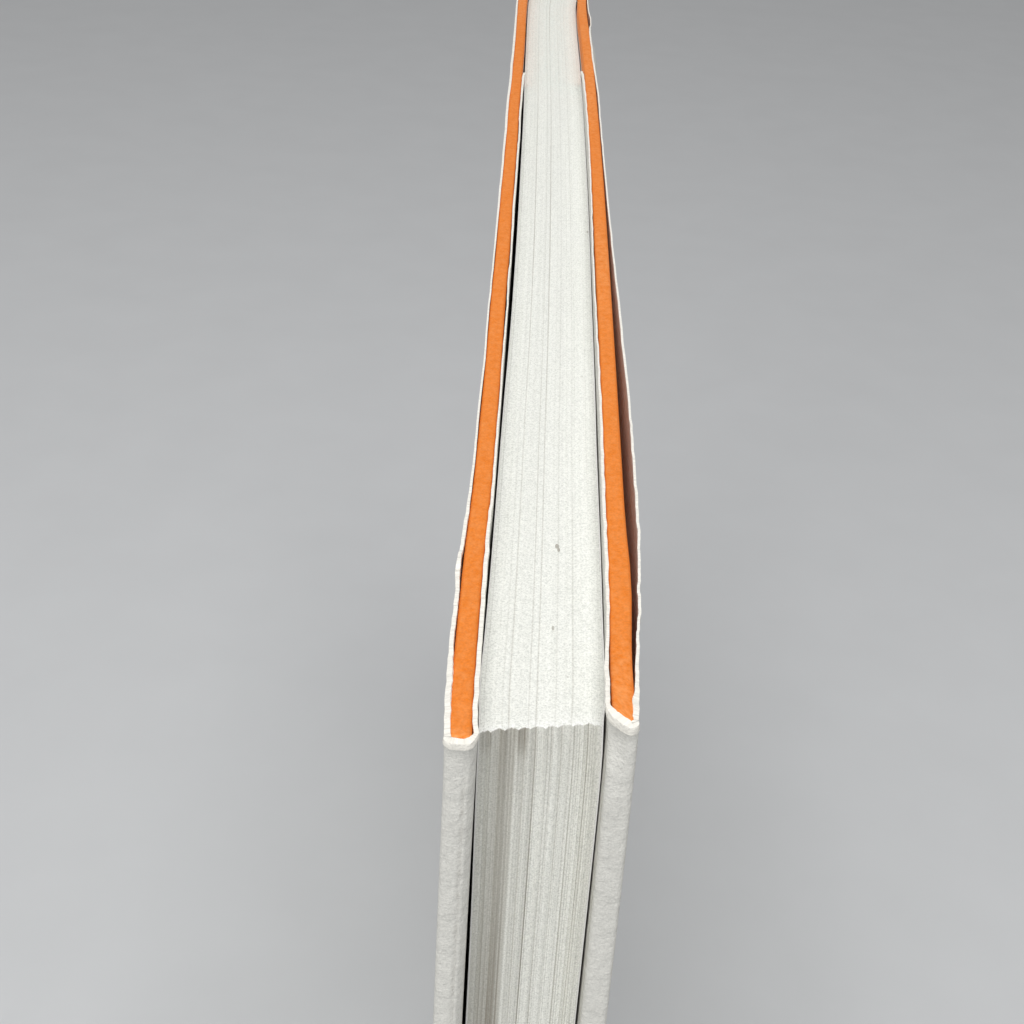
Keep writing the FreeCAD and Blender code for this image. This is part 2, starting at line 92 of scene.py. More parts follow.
# Leaves: half their thickness, without and with the flyleaves.  The binding is
# cocked: leaves slant by SKEW, and each cover is slid by SLIDE, towards the
# fore-edge in front and towards the spine behind.
LEAF_HALF = BLOCK_HIGH[0]
BLOCK_HALF = -FLY_FRONT[0]
SKEW = (box_mm("back_flyleaf")[0][1] - FLY_FRONT[1]) / (LEAF_HALF + BLOCK_HALF)
FORE = FLY_FRONT[1] + SKEW * BLOCK_HALF
SLIDE = (COVER_LOW[1] - box_mm("front_covering")[0][1]) / 2
TAIL = BLOCK_LOW[2]
HEAD = BLOCK_HIGH[2]
TOP = COVER_HIGH[2]
FOLD_TIP = BLOCK_HIGH[1] - FORE - SKEW * LEAF_HALF

# Case: names in _IN and _OUT are distances from the middle of the thickness.
PAPER = COVER_HIGH[0] - BOARD_HIGH[0]
COVER_OUT = COVER_HIGH[0]
COVER_IN = COVER_LOW[0]
COVER_FRONT = COVER_LOW[1] - FORE - SLIDE
COVER_BACK = COVER_HIGH[1] - FORE - SLIDE
BOARD_IN = COVER_IN + PAPER
PASTE_FRONT = PASTE_LOW[1] - FORE - SLIDE
INLAY_FRONT = INLAY_LOW[1] - FORE + SLIDE
SPINE_BACK = INLAY_HIGH[1] - FORE - SLIDE + PAPER
PIVOT = JOINTS["back_cover"]["pos_m"][1] / MM - FORE - SLIDE
# Bottom of the joint groove, on the covering's inside, and where it meets the shoulder.
GROOVE_IN = 6.30
GROOVE_BACK = 304.30

# Jacket: the middle of its paper lies at PANEL_OUT on a cover, and at
# JACKET_SPINE behind the spine.
FLAP_IN = WRAP_LOW[0]
JACKET_OUT = WRAP_HIGH[0]
CREASE = WRAP_LOW[1] - FORE - SLIDE
JACKET_GAP = (JACKET_OUT - COVER_OUT) / 2 + 0.025
PANEL_OUT = COVER_OUT + JACKET_GAP
JACKET_SPINE = SPINE_BACK + JACKET_GAP


# ------------------------------------------------------------- sizes and looks

def length(name, description, millimetres):
    """A length that a user may change, given in millimetres."""
    return bpy.props.FloatProperty(
        name=name, description=description, default=millimetres * MM, unit="LENGTH", precision=5)


def colour(name, description, default):
    """A colour that a user may change."""
    return bpy.props.FloatVectorProperty(
        name=name, description=description, default=default, size=3,
        subtype="COLOR", min=0.0, max=1.0)


class BookSizes(bpy.types.PropertyGroup):
    jacket_paper: length("Jacket paper", "Thickness of the dust jacket", 0.23)
    flap_length: length("Flap length", "Jacket turned in behind a cover", 216.0)
    turn_in: length("Turn-in", "Covering turned over inside a cover", 15.0)
    edge_round: length("Edge rounding", "Rounding of the covering along the board edges", 0.5)
    leaf_relief: length("Leaf relief", "How unevenly the leaves end", 0.035)
    hollow: length("Section hollow", "How far each section hollows in at the fore-edge", 0.32)
    bead: length("Headband bead", "Radius of the rolled edge of a headband", 0.8)
    leaves_per_section: bpy.props.IntProperty(
        name="Leaves", description="Leaves in one folded section", default=8, min=2)


class BookColours(bpy.types.PropertyGroup):
    pages: colour("Pages", "Paper of the leaves", (0.84, 0.845, 0.80))
    endpaper: colour("Endpapers", "Paper of the flyleaves and pastedowns", (0.88, 0.87, 0.84))
    jacket: colour("Jacket", "Face of the dust jacket paper", (0.74, 0.73, 0.68))
    jacket_edge: colour("Jacket edge", "Cut and torn edges of the dust jacket", (0.93, 0.90, 0.82))
    covering: colour("Covering", "Coloured covering of the case", (0.84, 0.225, 0.022))
    greyboard: colour("Greyboard", "Boards and spine inlay", RECORD_COLOURS["greyboard"])
    thread: colour("Headband thread", "Thread of the headbands", RECORD_COLOURS["headband_cloth"])
    floor: colour("Floor", "Floor under the book", (0.62, 0.63, 0.64))


# ---------------------------------------------------------------- shape helpers

def ease(x):
    """Smooth step: 0 below 0, 1 above 1, level at both ends."""
    x = np.clip(x, 0.0, 1.0)
    return x * x * (3 - 2 * x)


def bell(x, middle, half):
    """A smooth bump of height 1 at the middle, gone a half-width away."""
    return 1 - ease(np.abs(x - middle) / half)


def smooth_curve(at, places, values):
    """Cubic pieces through the given values, without overshoot.

    The slope at a place is the weighted harmonic mean of the slopes on its two
    sides, or level where those differ in sign."""
    places = np.asarray(places, float)
    values = np.asarray(values, float)
    steps = np.diff(places)
    sides = np.diff(values) / steps
    same = sides[:-1] * sides[1:] > 0
    weights = 2 * steps[1:] + steps[:-1], steps[1:] + 2 * steps[:-1]
    before = np.where(same, sides[:-1], 1)
    after = np.where(same, sides[1:], 1)
    inner = np.where(same, (weights[0] + weights[1]) / (weights[0] / before + weights[1] / after), 0)
    slopes = np.concatenate([sides[:1], inner, sides[-1:]])
    at = np.clip(at, places[0], places[-1])
    i = np.clip(np.searchsorted(places, at, side="right") - 1, 0, len(places) - 2)
    width = places[i + 1] - places[i]
    t = (at - places[i]) / width
    rise = values[i + 1] - values[i]
    start = slopes[i] * width
    end = slopes[i + 1] * width
    return values[i] + start * t + (3 * rise - 2 * start - end) * t**2 + (start + end - 2 * rise) * t**3


def ripple(x, y, seed, waves=9, longest=1.0):
    """A sum of sine waves in random directions, each shorter than the last; about -1 to 1."""
    random = np.random.default_rng(seed)
    total = np.zeros(np.broadcast(x, y).shape)
    for wave in range(waves):
        angle, phase = random.uniform(0, 2 * math.pi, 2)
        pitch = longest * 0.72**wave
        along = (x * math.cos(angle) + y * math.sin(angle)) * 2 * math.pi / pitch
        total += np.sin(along + phase) * 0.8**wave
    usual_peak = 2.6
    return total / usual_peak


def between(at, stops, points):
    """Points of a plan path of straight runs, at lengths along it."""
    return np.stack([np.interp(at, stops, points[:, axis]) for axis in (0, 1)], -1)


def path_along(corners, softness):
    """A plan path through corners, as a function of the length along it.

    The path runs straight from corner to corner, and each of its points is then
    the mean of the straight path over `softness` of length, which rounds the
    corners.  The mean comes from the running sum of points a step apart."""
    step = 0.01
    corners = np.asarray(corners, float)
    lengths = np.hypot(*np.diff(corners, axis=0).T)
    stops = np.concatenate([[0], np.cumsum(lengths)])
    first = corners[0] + (corners[0] - corners[1]) / lengths[0] * softness
    last = corners[-1] + (corners[-1] - corners[-2]) / lengths[-1] * softness
    longer = np.vstack([first, corners, last])
    longer_stops = np.concatenate([[-softness], stops, [stops[-1] + softness]])
    fine = np.arange(-softness, stops[-1] + softness, step)
    points = between(fine, longer_stops, longer)
    summed = np.vstack([[0, 0], np.cumsum((points[1:] + points[:-1]) * step / 2, axis=0)])

    def place(at):
        """Points at lengths along the path."""
        far = between(at + softness / 2, fine, summed)
        near = between(at - softness / 2, fine, summed)
        return (far - near) / softness

    return place, stops


def stations(stops):
    """Stations through a list of (place, spacing up to the next place)."""
    parts = []
    for (start, spacing), (end, _) in zip(stops[:-1], stops[1:]):
        count = max(1, round((end - start) / spacing))
        parts.append(np.linspace(start, end, count, endpoint=False))
    return np.concatenate(parts + [[stops[-1][0]]])


def skin_of_lattice(counts):
    """The outside of a box lattice: corners (i, j, k), faces, and the end each face lies on.

    An end is numbered 2 * axis, plus 1 at the far end.  Faces point outwards."""
    shape = [count + 1 for count in counts]
    outside = np.zeros(shape, bool)
    for axis in range(3):
        np.moveaxis(outside, axis, 0)[[0, -1]] = True
    number = np.full(shape, -1)
    number[outside] = np.arange(outside.sum())
    faces = []
    ends = []
    for axis in range(3):
        for far in (0, 1):
            sheet = np.take(number, counts[axis] * far, axis)
            quads = np.stack([sheet[:-1, :-1], sheet[1:, :-1], sheet[1:, 1:], sheet[:-1, 1:]], -1)
            quads = quads.reshape(-1, 4)
            faces.append(quads[:, ::-1] if (far == 0) != (axis == 1) else quads)
            ends.append(np.full(len(quads), 2 * axis + far))
    return np.argwhere(outside), np.concatenate(faces), np.concatenate(ends)


def enclosed(points, faces):
    """Volume inside the faces, by the sum of the tetrahedra to the origin."""
    first = points[faces[:, 0]]
    pairs = zip(faces.T[1:-1], faces.T[2:])
    return sum(np.einsum("ij,ij->", first, np.cross(points[a], points[b])) for a, b in pairs) / 6


def outward(points, faces):
    """The faces, turned round if they point inwards."""
    return faces if enclosed(points, faces) > 0 else faces[:, ::-1]


def rounded_box(points, low, high, radius):
    """Points on a box moved onto the same box with rounded edges.

    The box shrunk by the radius holds each point's nearest place; the rounded
    point lies one radius from it, on the line through the two."""
    core = np.clip(points, np.asarray(low) + radius, np.asarray(high) - radius)
    reach = points - core
    distance = np.linalg.norm(reach, axis=-1, keepdims=True)
    return core + reach * radius / np.maximum(distance, 1e-9)


def add_piece(name, points, groups, attributes, material, sharp=38):
    """A mesh object at the origin, from millimetres and groups of like faces.

    Each attribute is a number or a vector a point."""
    mesh = bpy.data.meshes.new(name)
    mesh.from_pydata((points * MM).tolist(), [], [row for group in groups for row in group.tolist()])
    for key, values in attributes.items():
        values = np.asarray(values, np.float32)
        kind, field = ("FLOAT_VECTOR", "vector") if values.ndim == 2 else ("FLOAT", "value")
        mesh.attributes.new(key, kind, "POINT").data.foreach_set(field, values.ravel())
    mesh.shade_smooth()
    mesh.set_sharp_from_angle(angle=math.radians(sharp))
    mesh.materials.append(material)
    piece = bpy.data.objects.new(name, mesh)
    bpy.context.scene.collection.objects.link(piece)
    return piece


# The leaves and the case have taken a slight bow with age: where the two outer
# leaves lie at the head, and how far each cover lies towards the back, at
# places from the fore-edge to the spine.
BLOCK_LEFT = (
    (-5, 0, 6, 10, 14.5, 20.7, 30, 41, 67, 82, 99, 118, 141, 168, 183, 200, 214, 230, 247, 265, 282,
     301.5),
    (-6.02, -6.06, -6.28, -6.24, -6.14, -6.07, -6.00, -5.96, -5.85, -5.71, -5.63, -5.63, -5.70, -5.86,
     -5.93, -6.09, -6.28, -6.44, -6.56, -6.72, -6.78, -6.0))
BLOCK_RIGHT = (
    (-5, 0, 8, 13, 18, 24, 32, 55, 68, 84, 101, 121, 145, 158, 172, 187, 204, 219, 234, 262, 280,
     301.5),
    (6.10, 6.10, 6.12, 6.10, 6.09, 6.12, 6.15, 6.14, 6.22, 6.25, 6.26, 6.32, 6.32, 6.28, 6.22, 6.12,
     6.00, 5.84, 5.64, 5.20, 5.12, 6.0))
CASE_BOW = {
    FRONT: (
        (-5, 2, 12, 24, 42, 68, 98, 112, 136, 165, 191, 215, 240, 270, 286, 300),
        (0.24, 0.03, -0.03, -0.03, 0.22, 0.26, 0.12, 0.18, 0.07, 0.04, -0.11, -0.05, -0.08, -0.30,
         -0.28, 0)),
    BACK: (
        (-5, -1, 5, 11, 20, 40, 64, 95, 136, 165, 192, 212, 240, 270, 285, 300),
        (-0.33, -0.38, -0.40, -0.30, -0.20, -0.12, -0.06, -0.02, 0.0, -0.10, -0.30, -0.48, -0.90, -1.40,
         -1.05, 0)),
}


def in_book(side, out, deep, up):
    """Points of a cover, from its own directions into the book's, with the case's bow.

    Near the fore-edge the bow dies away below the head."""
    shift = smooth_curve(deep, *CASE_BOW[side])
    near_fore = 1 - ease((deep - 8) / 30)
    away_from_head = 1 - np.exp((up - TOP) / 22)
    shift = shift * (1 - near_fore * away_from_head)
    return np.stack(np.broadcast_arrays(side * out + shift, deep + side * SLIDE + FORE, up), -1)


def in_block(across, deep, up):
    """Points of the leaves, shared out between the two outer leaves.

    At the fore-edge the leaves are pressed together at the head and the tail on
    the back cover's side, and between them on the front cover's side."""
    from_end = np.maximum(np.minimum(HEAD - up, up - TAIL), 0)
    pressed_left = 0.24 * (1 - ease((deep - 8) / 50)) * (1 - np.exp(-((from_end / 18) ** 2)))
    pressed_right = 0.35 * np.exp(-from_end / 4) * (1 - ease(deep / 6))
    left = smooth_curve(deep, *BLOCK_LEFT) + pressed_left
    right = smooth_curve(deep, *BLOCK_RIGHT) - pressed_right
    share = (across + BLOCK_HALF) / (2 * BLOCK_HALF)
    return np.stack(np.broadcast_arrays(left + (right - left) * share, deep + FORE, up), -1)


# ------------------------------------------------------------------- materials

def add_node(tree, kind, inputs=None, **settings):
    """A node with its settings; an input is a plain value or another node's output."""
    made = tree.nodes.new(kind)
    for key, value in settings.items():
        setattr(made, key, value)
    for key, value in (inputs or {}).items():
        if isinstance(value, bpy.types.NodeSocket):
            tree.links.new(value, made.inputs[key])
        else:
            made.inputs[key].default_value = value
    return made


def new_finish(name, roughness, **inputs):
    """A material, its node tree and its shader, with the even inputs set on the shader."""
    material = bpy.data.materials.new(name)
    material.use_nodes = True
    tree = material.node_tree
    shader = next(node for node in tree.nodes if node.type == "BSDF_PRINCIPLED")
    shader.inputs["Roughness"].default_value = roughness
    for key, value in inputs.items():
        shader.inputs[key.replace("_", " ")].default_value = value
    return material, tree, shader


def places(tree, attribute, scale=(1, 1, 1)):
    """Coordinates in metres: a piece's own attribute, or object coordinates without one."""
    if attribute:
        source = add_node(tree, "ShaderNodeAttribute", attribute_name=attribute).outputs["Vector"]
    else:
        source = add_node(tree, "ShaderNodeTexCoord").outputs["Object"]
    return add_node(tree, "ShaderNodeMapping", {"Vector": source, "Scale": scale}).outputs[0]


def attribute(tree, name):
    """The number that a piece's mesh keeps under a name."""
    return add_node(tree, "ShaderNodeAttribute", attribute_name=name).outputs["Fac"]


def noise(tree, vector, scale, detail=3.0, roughness=0.5):
    """Noise about 0.5, with `scale` swells a metre."""
    return add_node(tree, "ShaderNodeTexNoise", {
        "Vector": vector, "Scale": scale, "Detail": detail, "Roughness": roughness}).outputs[0]


def spread(tree, value, low, high, to_low=0.0, to_high=1.0):
    """A value stretched from low..high onto another range, and held inside it."""
    return add_node(tree, "ShaderNodeMapRange", {
        "Value": value, "From Min": low, "From Max": high,
        "To Min": to_low, "To Max": to_high}).outputs[0]


def tinted(tree, factor, first, second, blend="MIX"):
    """A colour between two, by a factor."""
    return add_node(tree, "ShaderNodeMixRGB", {
        "Fac": factor, "Color1": first, "Color2": second}, blend_type=blend).outputs[0]


def maths(tree, operation, first, second):
    """Two numbers added, multiplied or compared."""
    made = add_node(tree, "ShaderNodeMath", operation=operation)
    for socket, value in zip(made.inputs, (first, second)):
        if isinstance(value, bpy.types.NodeSocket):
            tree.links.new(value, socket)
        else:
            socket.default_value = value
    return made.outputs[0]


def toned(tone, by=1.0):
    """A colour made lighter or darker by a factor, with its alpha."""
    return tuple(min(1.0, part * by) for part in tone) + (1.0,)


def mottled(tree, value, tone, dark, light):
    """A tone that drifts between two strengths of itself, with a noise."""
    return tinted(tree, spread(tree, value, 0.3, 0.7), toned(tone, dark), toned(tone, light))


def grained(tree, base, value, low, high, dark, light):
    """A colour multiplied by another that runs from dark to light as a value runs low to high."""
    grain = tinted(tree, spread(tree, value, low, high), dark + (1,), light + (1,))
    return tinted(tree, 1.0, base, grain, "MULTIPLY")


def dress(tree, shader, base, value, rough, height, depth=1.0, span=(0.2, 0.8)):
    """Colour, roughness and bump on the shader.

    The roughness runs over `rough` as a value runs over `span`; height 0 to 1
    stands for `depth` millimetres."""
    tree.links.new(base, shader.inputs["Base Color"])
    tree.links.new(spread(tree, value, *span, *rough), shader.inputs["Roughness"])
    bump = add_node(tree, "ShaderNodeBump", {"Height": height, "Distance": depth * MM, "Strength": 1.0})
    tree.links.new(bump.outputs[0], shader.inputs["Normal"])


# Grey of rubbed paper, which also serves as painted shade on the jacket.
RUBBED_AND_SHADED_PAPER = (0.55, 0.53, 0.48)
AGED_PAPER = (0.86, 0.86, 0.83)
# Painted highlight along the front edge of the head and the tail of the leaves.
EDGE_HIGHLIGHT_PAPER = (0.95, 0.95, 0.93)
# Painted shade between the leaves and on the fore-edge; also the colour of the dust specks.
GAP_SHADE_AND_DUST = (0.21, 0.18, 0.135)
COVERING_FIBRE = (1.0, 0.40, 0.10)
RUBBED_COVERING = (0.98, 0.46, 0.18)
MULL_HOLES = (0.55, 0.52, 0.45)


def paper_finish(name, tone, sheet, mottle=0.04, roughness=0.72, tooth=0.02, crumple=0.0, raw=None):
    """Uncoated paper: a slow mottle, a fine fibre grain and a soft tooth.

    Where the `raw` attribute is 1 the torn fibres show, whiter than the face;
    where the attribute for rubbing and painted shade is 1 the face turns grey in patches:
    rubbed along the jacket's bends, and painted shade under its bead, in its valley and
    inside the back cover's fold."""
    material, tree, shader = new_finish(name, roughness)
    vector = places(tree, sheet)
    slow = noise(tree, vector, 420.0, 4.0, 0.6)
    fine = noise(tree, vector, 4200.0, 2.0, 0.7)
    base = mottled(tree, slow, tone, 1 - mottle, 1 + mottle)
    # Grey in patches: rubbing, and painted shade in the jacket's hollows.
    patches = spread(tree, noise(tree, vector, 900.0, 3.0), 0.35, 0.65)
    rubbed_and_shaded = maths(tree, "MULTIPLY", attribute(tree, "wear_and_shade"), patches)
    base = tinted(tree, rubbed_and_shaded, base, toned(RUBBED_AND_SHADED_PAPER))
    if raw:
        base = tinted(tree, attribute(tree, "raw"), base, toned(raw))
    base = grained(tree, base, fine, 0.3, 0.7, (0.84, 0.84, 0.84), (1.04, 1.04, 1.04))
    dents = spread(tree, noise(tree, vector, 900.0, 4.0, 0.7), 0.3, 0.7, 0.0, crumple)
    height = maths(tree, "ADD", maths(tree, "MULTIPLY", fine, tooth), dents)
    dress(tree, shader, base, fine, (roughness - 0.06, roughness + 0.08), height)
    return material


def page_finish(tone):
    """Leaf edges: streaks along each leaf, bands over whole sections, a fine speckle, with a painted highlight
    along the head's front edge, painted shade on the fore-edge and in the gaps between leaves, and a painted
    cooling of the far end against reflected orange light.
    """
    material, tree, shader = new_finish("page_edges", 0.8)
    streaks = noise(tree, places(tree, "sheet", (9000, 14, 14)), 1.0, 3.0, 0.7)
    bands = noise(tree, places(tree, "sheet", (900, 4, 4)), 1.0, 2.0)
    vector = places(tree, "sheet")
    speckle = noise(tree, vector, 5200.0, 2.0, 0.8)
    cloud = spread(tree, noise(tree, vector, 120.0, 3.0), 0.4, 0.75, 0.0, 0.25)
    base = mottled(tree, bands, tone, 0.97, 1.02)
    base = tinted(tree, cloud, base, toned(AGED_PAPER))
    line = spread(tree, streaks, 0.32, 0.60)
    plain = tinted(tree, line, (0.99, 0.99, 0.98, 1), (1.07, 1.07, 1.065, 1))
    strong = tinted(tree, line, (0.86, 0.845, 0.815, 1), (1.13, 1.125, 1.10, 1))
    lines = tinted(tree, attribute(tree, "fore"), plain, strong)
    base = tinted(tree, 1.0, base, lines, "MULTIPLY")
    base = grained(tree, base, speckle, 0.30, 0.60, (0.69, 0.70, 0.69), (1.03, 1.03, 1.03))
    # Painted highlight along the front edge of the head and the tail, broken up by a noise.
    highlight_breaks = spread(tree, noise(tree, vector, 2600.0, 2.0), 0.38, 0.62)
    painted_highlight = maths(tree, "MULTIPLY", attribute(tree, "bright"), highlight_breaks)
    base = tinted(tree, painted_highlight, base, toned(EDGE_HIGHLIGHT_PAPER))
    # Painted shade: a shadow over the fore-edge and dark gaps where leaves stand apart, uneven along the streaks;
    # the dust specks darken the same way.
    uneven = spread(tree, streaks, 0.30, 0.68, 1.12, 0.86)
    shaded = maths(tree, "MULTIPLY", attribute(tree, "shade"), uneven)
    base = tinted(tree, shaded, base, toned(GAP_SHADE_AND_DUST))
    # Painted correction: the far end of the head is made cooler against orange light reflected from the covering.
    base = tinted(tree, attribute(tree, "orange_bounce_cancel"), base, (0.99, 1.03, 1.03, 1), "MULTIPLY")
    height = maths(tree, "MULTIPLY", streaks, 0.03)
    height = maths(tree, "ADD", height, maths(tree, "MULTIPLY", speckle, 0.04))
    dress(tree, shader, base, speckle, (0.72, 0.9), height)
    return material


def covering_finish(tone):
    """Dyed paper over board: an even body with fine fibres, paler where the edges rub."""
    material, tree, shader = new_finish("orange_covering_paper", 0.65, Specular_IOR_Level=0.25)
    vector = places(tree, "sheet")
    fine = noise(tree, vector, 4200.0, 3.0, 0.65)
    slow = noise(tree, vector, 320.0, 4.0, 0.55)
    fibre = noise(tree, places(tree, "sheet", (1, 1, 0.22)), 5200.0, 2.0)
    base = mottled(tree, slow, tone, 0.97, 1.02)
    base = grained(tree, base, fine, 0.28, 0.7, (0.80, 0.75, 0.64), (1.02, 1.02, 1.02))
    base = tinted(tree, spread(tree, fibre, 0.62, 0.80, 0.0, 0.2), base, toned(COVERING_FIBRE))
    patches = spread(tree, noise(tree, vector, 1500.0, 3.0), 0.30, 0.85)
    rubbed = maths(tree, "MULTIPLY", attribute(tree, "wear_and_shade"), patches)
    base = tinted(tree, rubbed, base, toned(RUBBED_COVERING))
    dress(tree, shader, base, fine, (0.6, 0.75), fine, 0.02, span=(0.25, 0.75))
    return material


def board_finish(tone):
    """Greyboard: pressed waste paper with pale and dark flecks."""
    material, tree, shader = new_finish("greyboard", 0.88)
    flecks = noise(tree, places(tree, None, (1, 0.4, 0.4)), 2600.0, 3.0, 0.7)
    slow = noise(tree, places(tree, None), 300.0, 3.0)
    base = mottled(tree, slow, tone, 0.88, 1.1)
    base = tinted(tree, spread(tree, flecks, 0.60, 0.72, 0.0, 0.6), base, toned(tone, 1.45))
    base = tinted(tree, spread(tree, flecks, 0.36, 0.26, 0.0, 0.6), base, toned(tone, 0.45))
    dress(tree, shader, base, flecks, (0.8, 0.95), flecks, 0.04)
    return material


def mull_finish(tone, pitch=0.9):
    """Open plain weave: two crossed sets of threads, their sum 0 in the holes, with loose fibres."""
    material, tree, shader = new_finish("mull_weave", 0.85)
    vector = places(tree, None)
    bands = {"Vector": vector, "Scale": 1 / (pitch * MM) / 20, "Distortion": 0.6, "Detail": 1.0}
    warp, weft = (
        add_node(tree, "ShaderNodeTexWave", bands, wave_type="BANDS", wave_profile="SIN",
                 bands_direction=direction).outputs["Fac"] for direction in "XZ")
    threads = maths(tree, "MAXIMUM", warp, weft)
    fuzz = noise(tree, vector, 5000.0, 2.0)
    base = tinted(tree, spread(tree, threads, 0.55, 0.8), toned(MULL_HOLES), toned(tone))
    base = tinted(tree, 1.0, base, tinted(tree, fuzz, (0.8, 0.8, 0.78, 1), (1, 1, 1, 1)), "MULTIPLY")
    dress(tree, shader, base, fuzz, (0.77, 0.93), maths(tree, "MULTIPLY", threads, fuzz), 0.12)
    return material


def thread_finish(tone):
    """Headband thread: lit ridges, darker between the turns, with a soft silky lustre."""
    material, tree, shader = new_finish("headband_thread", 0.55, Sheen_Weight=0.3)
    fuzz = noise(tree, places(tree, "sheet"), 6000.0, 2.0)
    base = tinted(tree, attribute(tree, "turn"), toned(tone, 0.62), toned(tone))
    base = tinted(tree, 1.0, base, tinted(tree, fuzz, (0.86, 0.85, 0.82, 1), (1, 1, 1, 1)), "MULTIPLY")
    dress(tree, shader, base, fuzz, (0.45, 0.65), fuzz, 0.03)
    return material


# ------------------------------------------------------------------ page block

# Where the folded sections meet, through the thickness, how far each ends before
# or behind its neighbours at the fore-edge, and how deep it hollows in there.
SECTION_EDGES = np.array([-5.85, -4.75, -3.50, -2.18, -1.02, 0.42, 1.60, 3.12, 4.15, 5.05, 5.85])
SECTION_STEP = np.array([-0.02, 0.06, 0.02, 0.0, 0.05, 0.0, -0.03, 0.02, 0.06, -0.18])
SECTION_DEPTH = np.array([0.9, 1.1, 1.2, 1.0, 0.9, 1.0, 1.0, 0.8, 0.7, 0.25])

# Leaves that stand apart: place through the thickness, strength at the head and
# at the fore-edge.
OPENINGS = (
    (-5.50, 0.30, 0.0), (-5.15, 0.0, 0.20), (-4.77, 0.0, 0.06), (-4.50, 0.14, 0.0),
    (-3.90, 0.0, 0.18), (-3.75, 0.16, 0.0), (-3.50, 0.0, 0.12), (-3.12, 0.60, 0.0),
    (-2.87, 0.0, 0.32), (-2.55, 0.0, 0.08), (-2.30, 0.06, 0.0), (-1.87, 0.08, 0.26),
    (-1.54, 0.0, 0.26), (-1.22, 0.40, 0.18), (-0.50, 0.76, 1.05), (-0.26, 0.0, 0.32),
    (0.73, 0.12, 0.92), (1.06, 0.0, 0.32), (1.30, 0.26, 0.0), (2.00, 0.0, 0.60),
    (2.24, 0.10, 0.20), (2.90, 0.30, 0.28), (3.26, 0.08, 0.86), (3.57, 0.0, 0.24),
    (4.56, 0.0, 0.92), (4.70, 0.14, 0.0), (4.82, 0.0, 0.20), (5.25, 0.10, 0.0), (5.40, 0.0, 0.12))

# Specks of dust on the head: place across and deep, half sizes and how dark.
SPECKS = (
    (1.16, 32.0, 0.24, 0.50, 0.62), (1.34, 31.3, 0.16, 0.42, 0.66), (0.88, 16.3, 0.14, 0.42, 0.50),
    (5.70, 129.0, 0.16, 0.50, 0.50),
    (4.24, 75.0, 0.20, 0.24, 0.30), (4.95, 211.0, 0.22, 0.90, 0.18), (-3.10, 52.0, 0.05, 0.30, 0.35),
    (2.40, 8.2, 0.07, 0.12, 0.40), (-0.90, 96.0, 0.06, 0.30, 0.30))


def section_shapes(sizes):
    """Stations through the thickness, and what differs there from leaf to leaf.

    These are the place at the fore-edge, the hollow, which is a parabola over
    each section, the fold at the spine, half an ellipse for each section, the
    leaf's step at the head, and its tone."""
    fold_rise = 0.4
    random = np.random.default_rng(11)
    across = np.linspace(-LEAF_HALF, LEAF_HALF, 301)
    sections = len(SECTION_STEP)
    section = np.clip(np.searchsorted(SECTION_EDGES, across, side="right") - 1, 0, sections - 1)
    width = SECTION_EDGES[section + 1] - SECTION_EDGES[section]
    within = (across - SECTION_EDGES[section]) / width
    leaves = sections * sizes.leaves_per_section
    leaf = np.clip(((section + within) * sizes.leaves_per_section).astype(int), 0, leaves - 1)
    leaf_step = random.uniform(-1, 1, leaves)[leaf] * sizes.leaf_relief / MM
    head_step = random.uniform(-1, 1, leaves)[leaf] * 0.014
    tone = random.uniform(-1, 1, leaves)[leaf]
    hollow = sizes.hollow / MM * SECTION_DEPTH[section] * 4 * within * (1 - within)
    hollow = hollow + 0.05 * ripple(across, 0, 4, waves=8, longest=0.9)
    fore = SKEW * across + SECTION_STEP[section] + leaf_step
    even = (across + LEAF_HALF) / (2 * LEAF_HALF) * sections % 1
    arc = np.sqrt(np.clip(1 - (2 * even - 1) ** 2, 0, 1))
    fold = FOLD_TIP - fold_rise + SKEW * across + fold_rise * arc
    return across, fore, hollow, fold, head_step, tone


def leaf_openings(x, y, z):
    """How far the leaves stand apart, 0 to about 1, on the head and at the fore-edge.

    Each opening is a narrow bell across the thickness.  Its place and strength
    waver in slow sines, along the head or down the fore-edge."""
    on_head = np.zeros(len(x))
    on_fore = np.zeros(len(x))
    for place, at_head, at_fore in OPENINGS:
        here = np.exp(-((x - place - 0.014 * np.sin(y / 23 + place)) / 0.065) ** 2)
        on_head += here * at_head * (0.75 + 0.25 * np.sin(y / 31 + 5 * place))
        here = np.exp(-((x - place - 0.02 * np.sin(z / 17 + 3 * place)) / 0.052) ** 2)
        on_fore += here * at_fore * (0.8 + 0.2 * np.sin(z / 13 + 7 * place))
    return on_head, on_fore


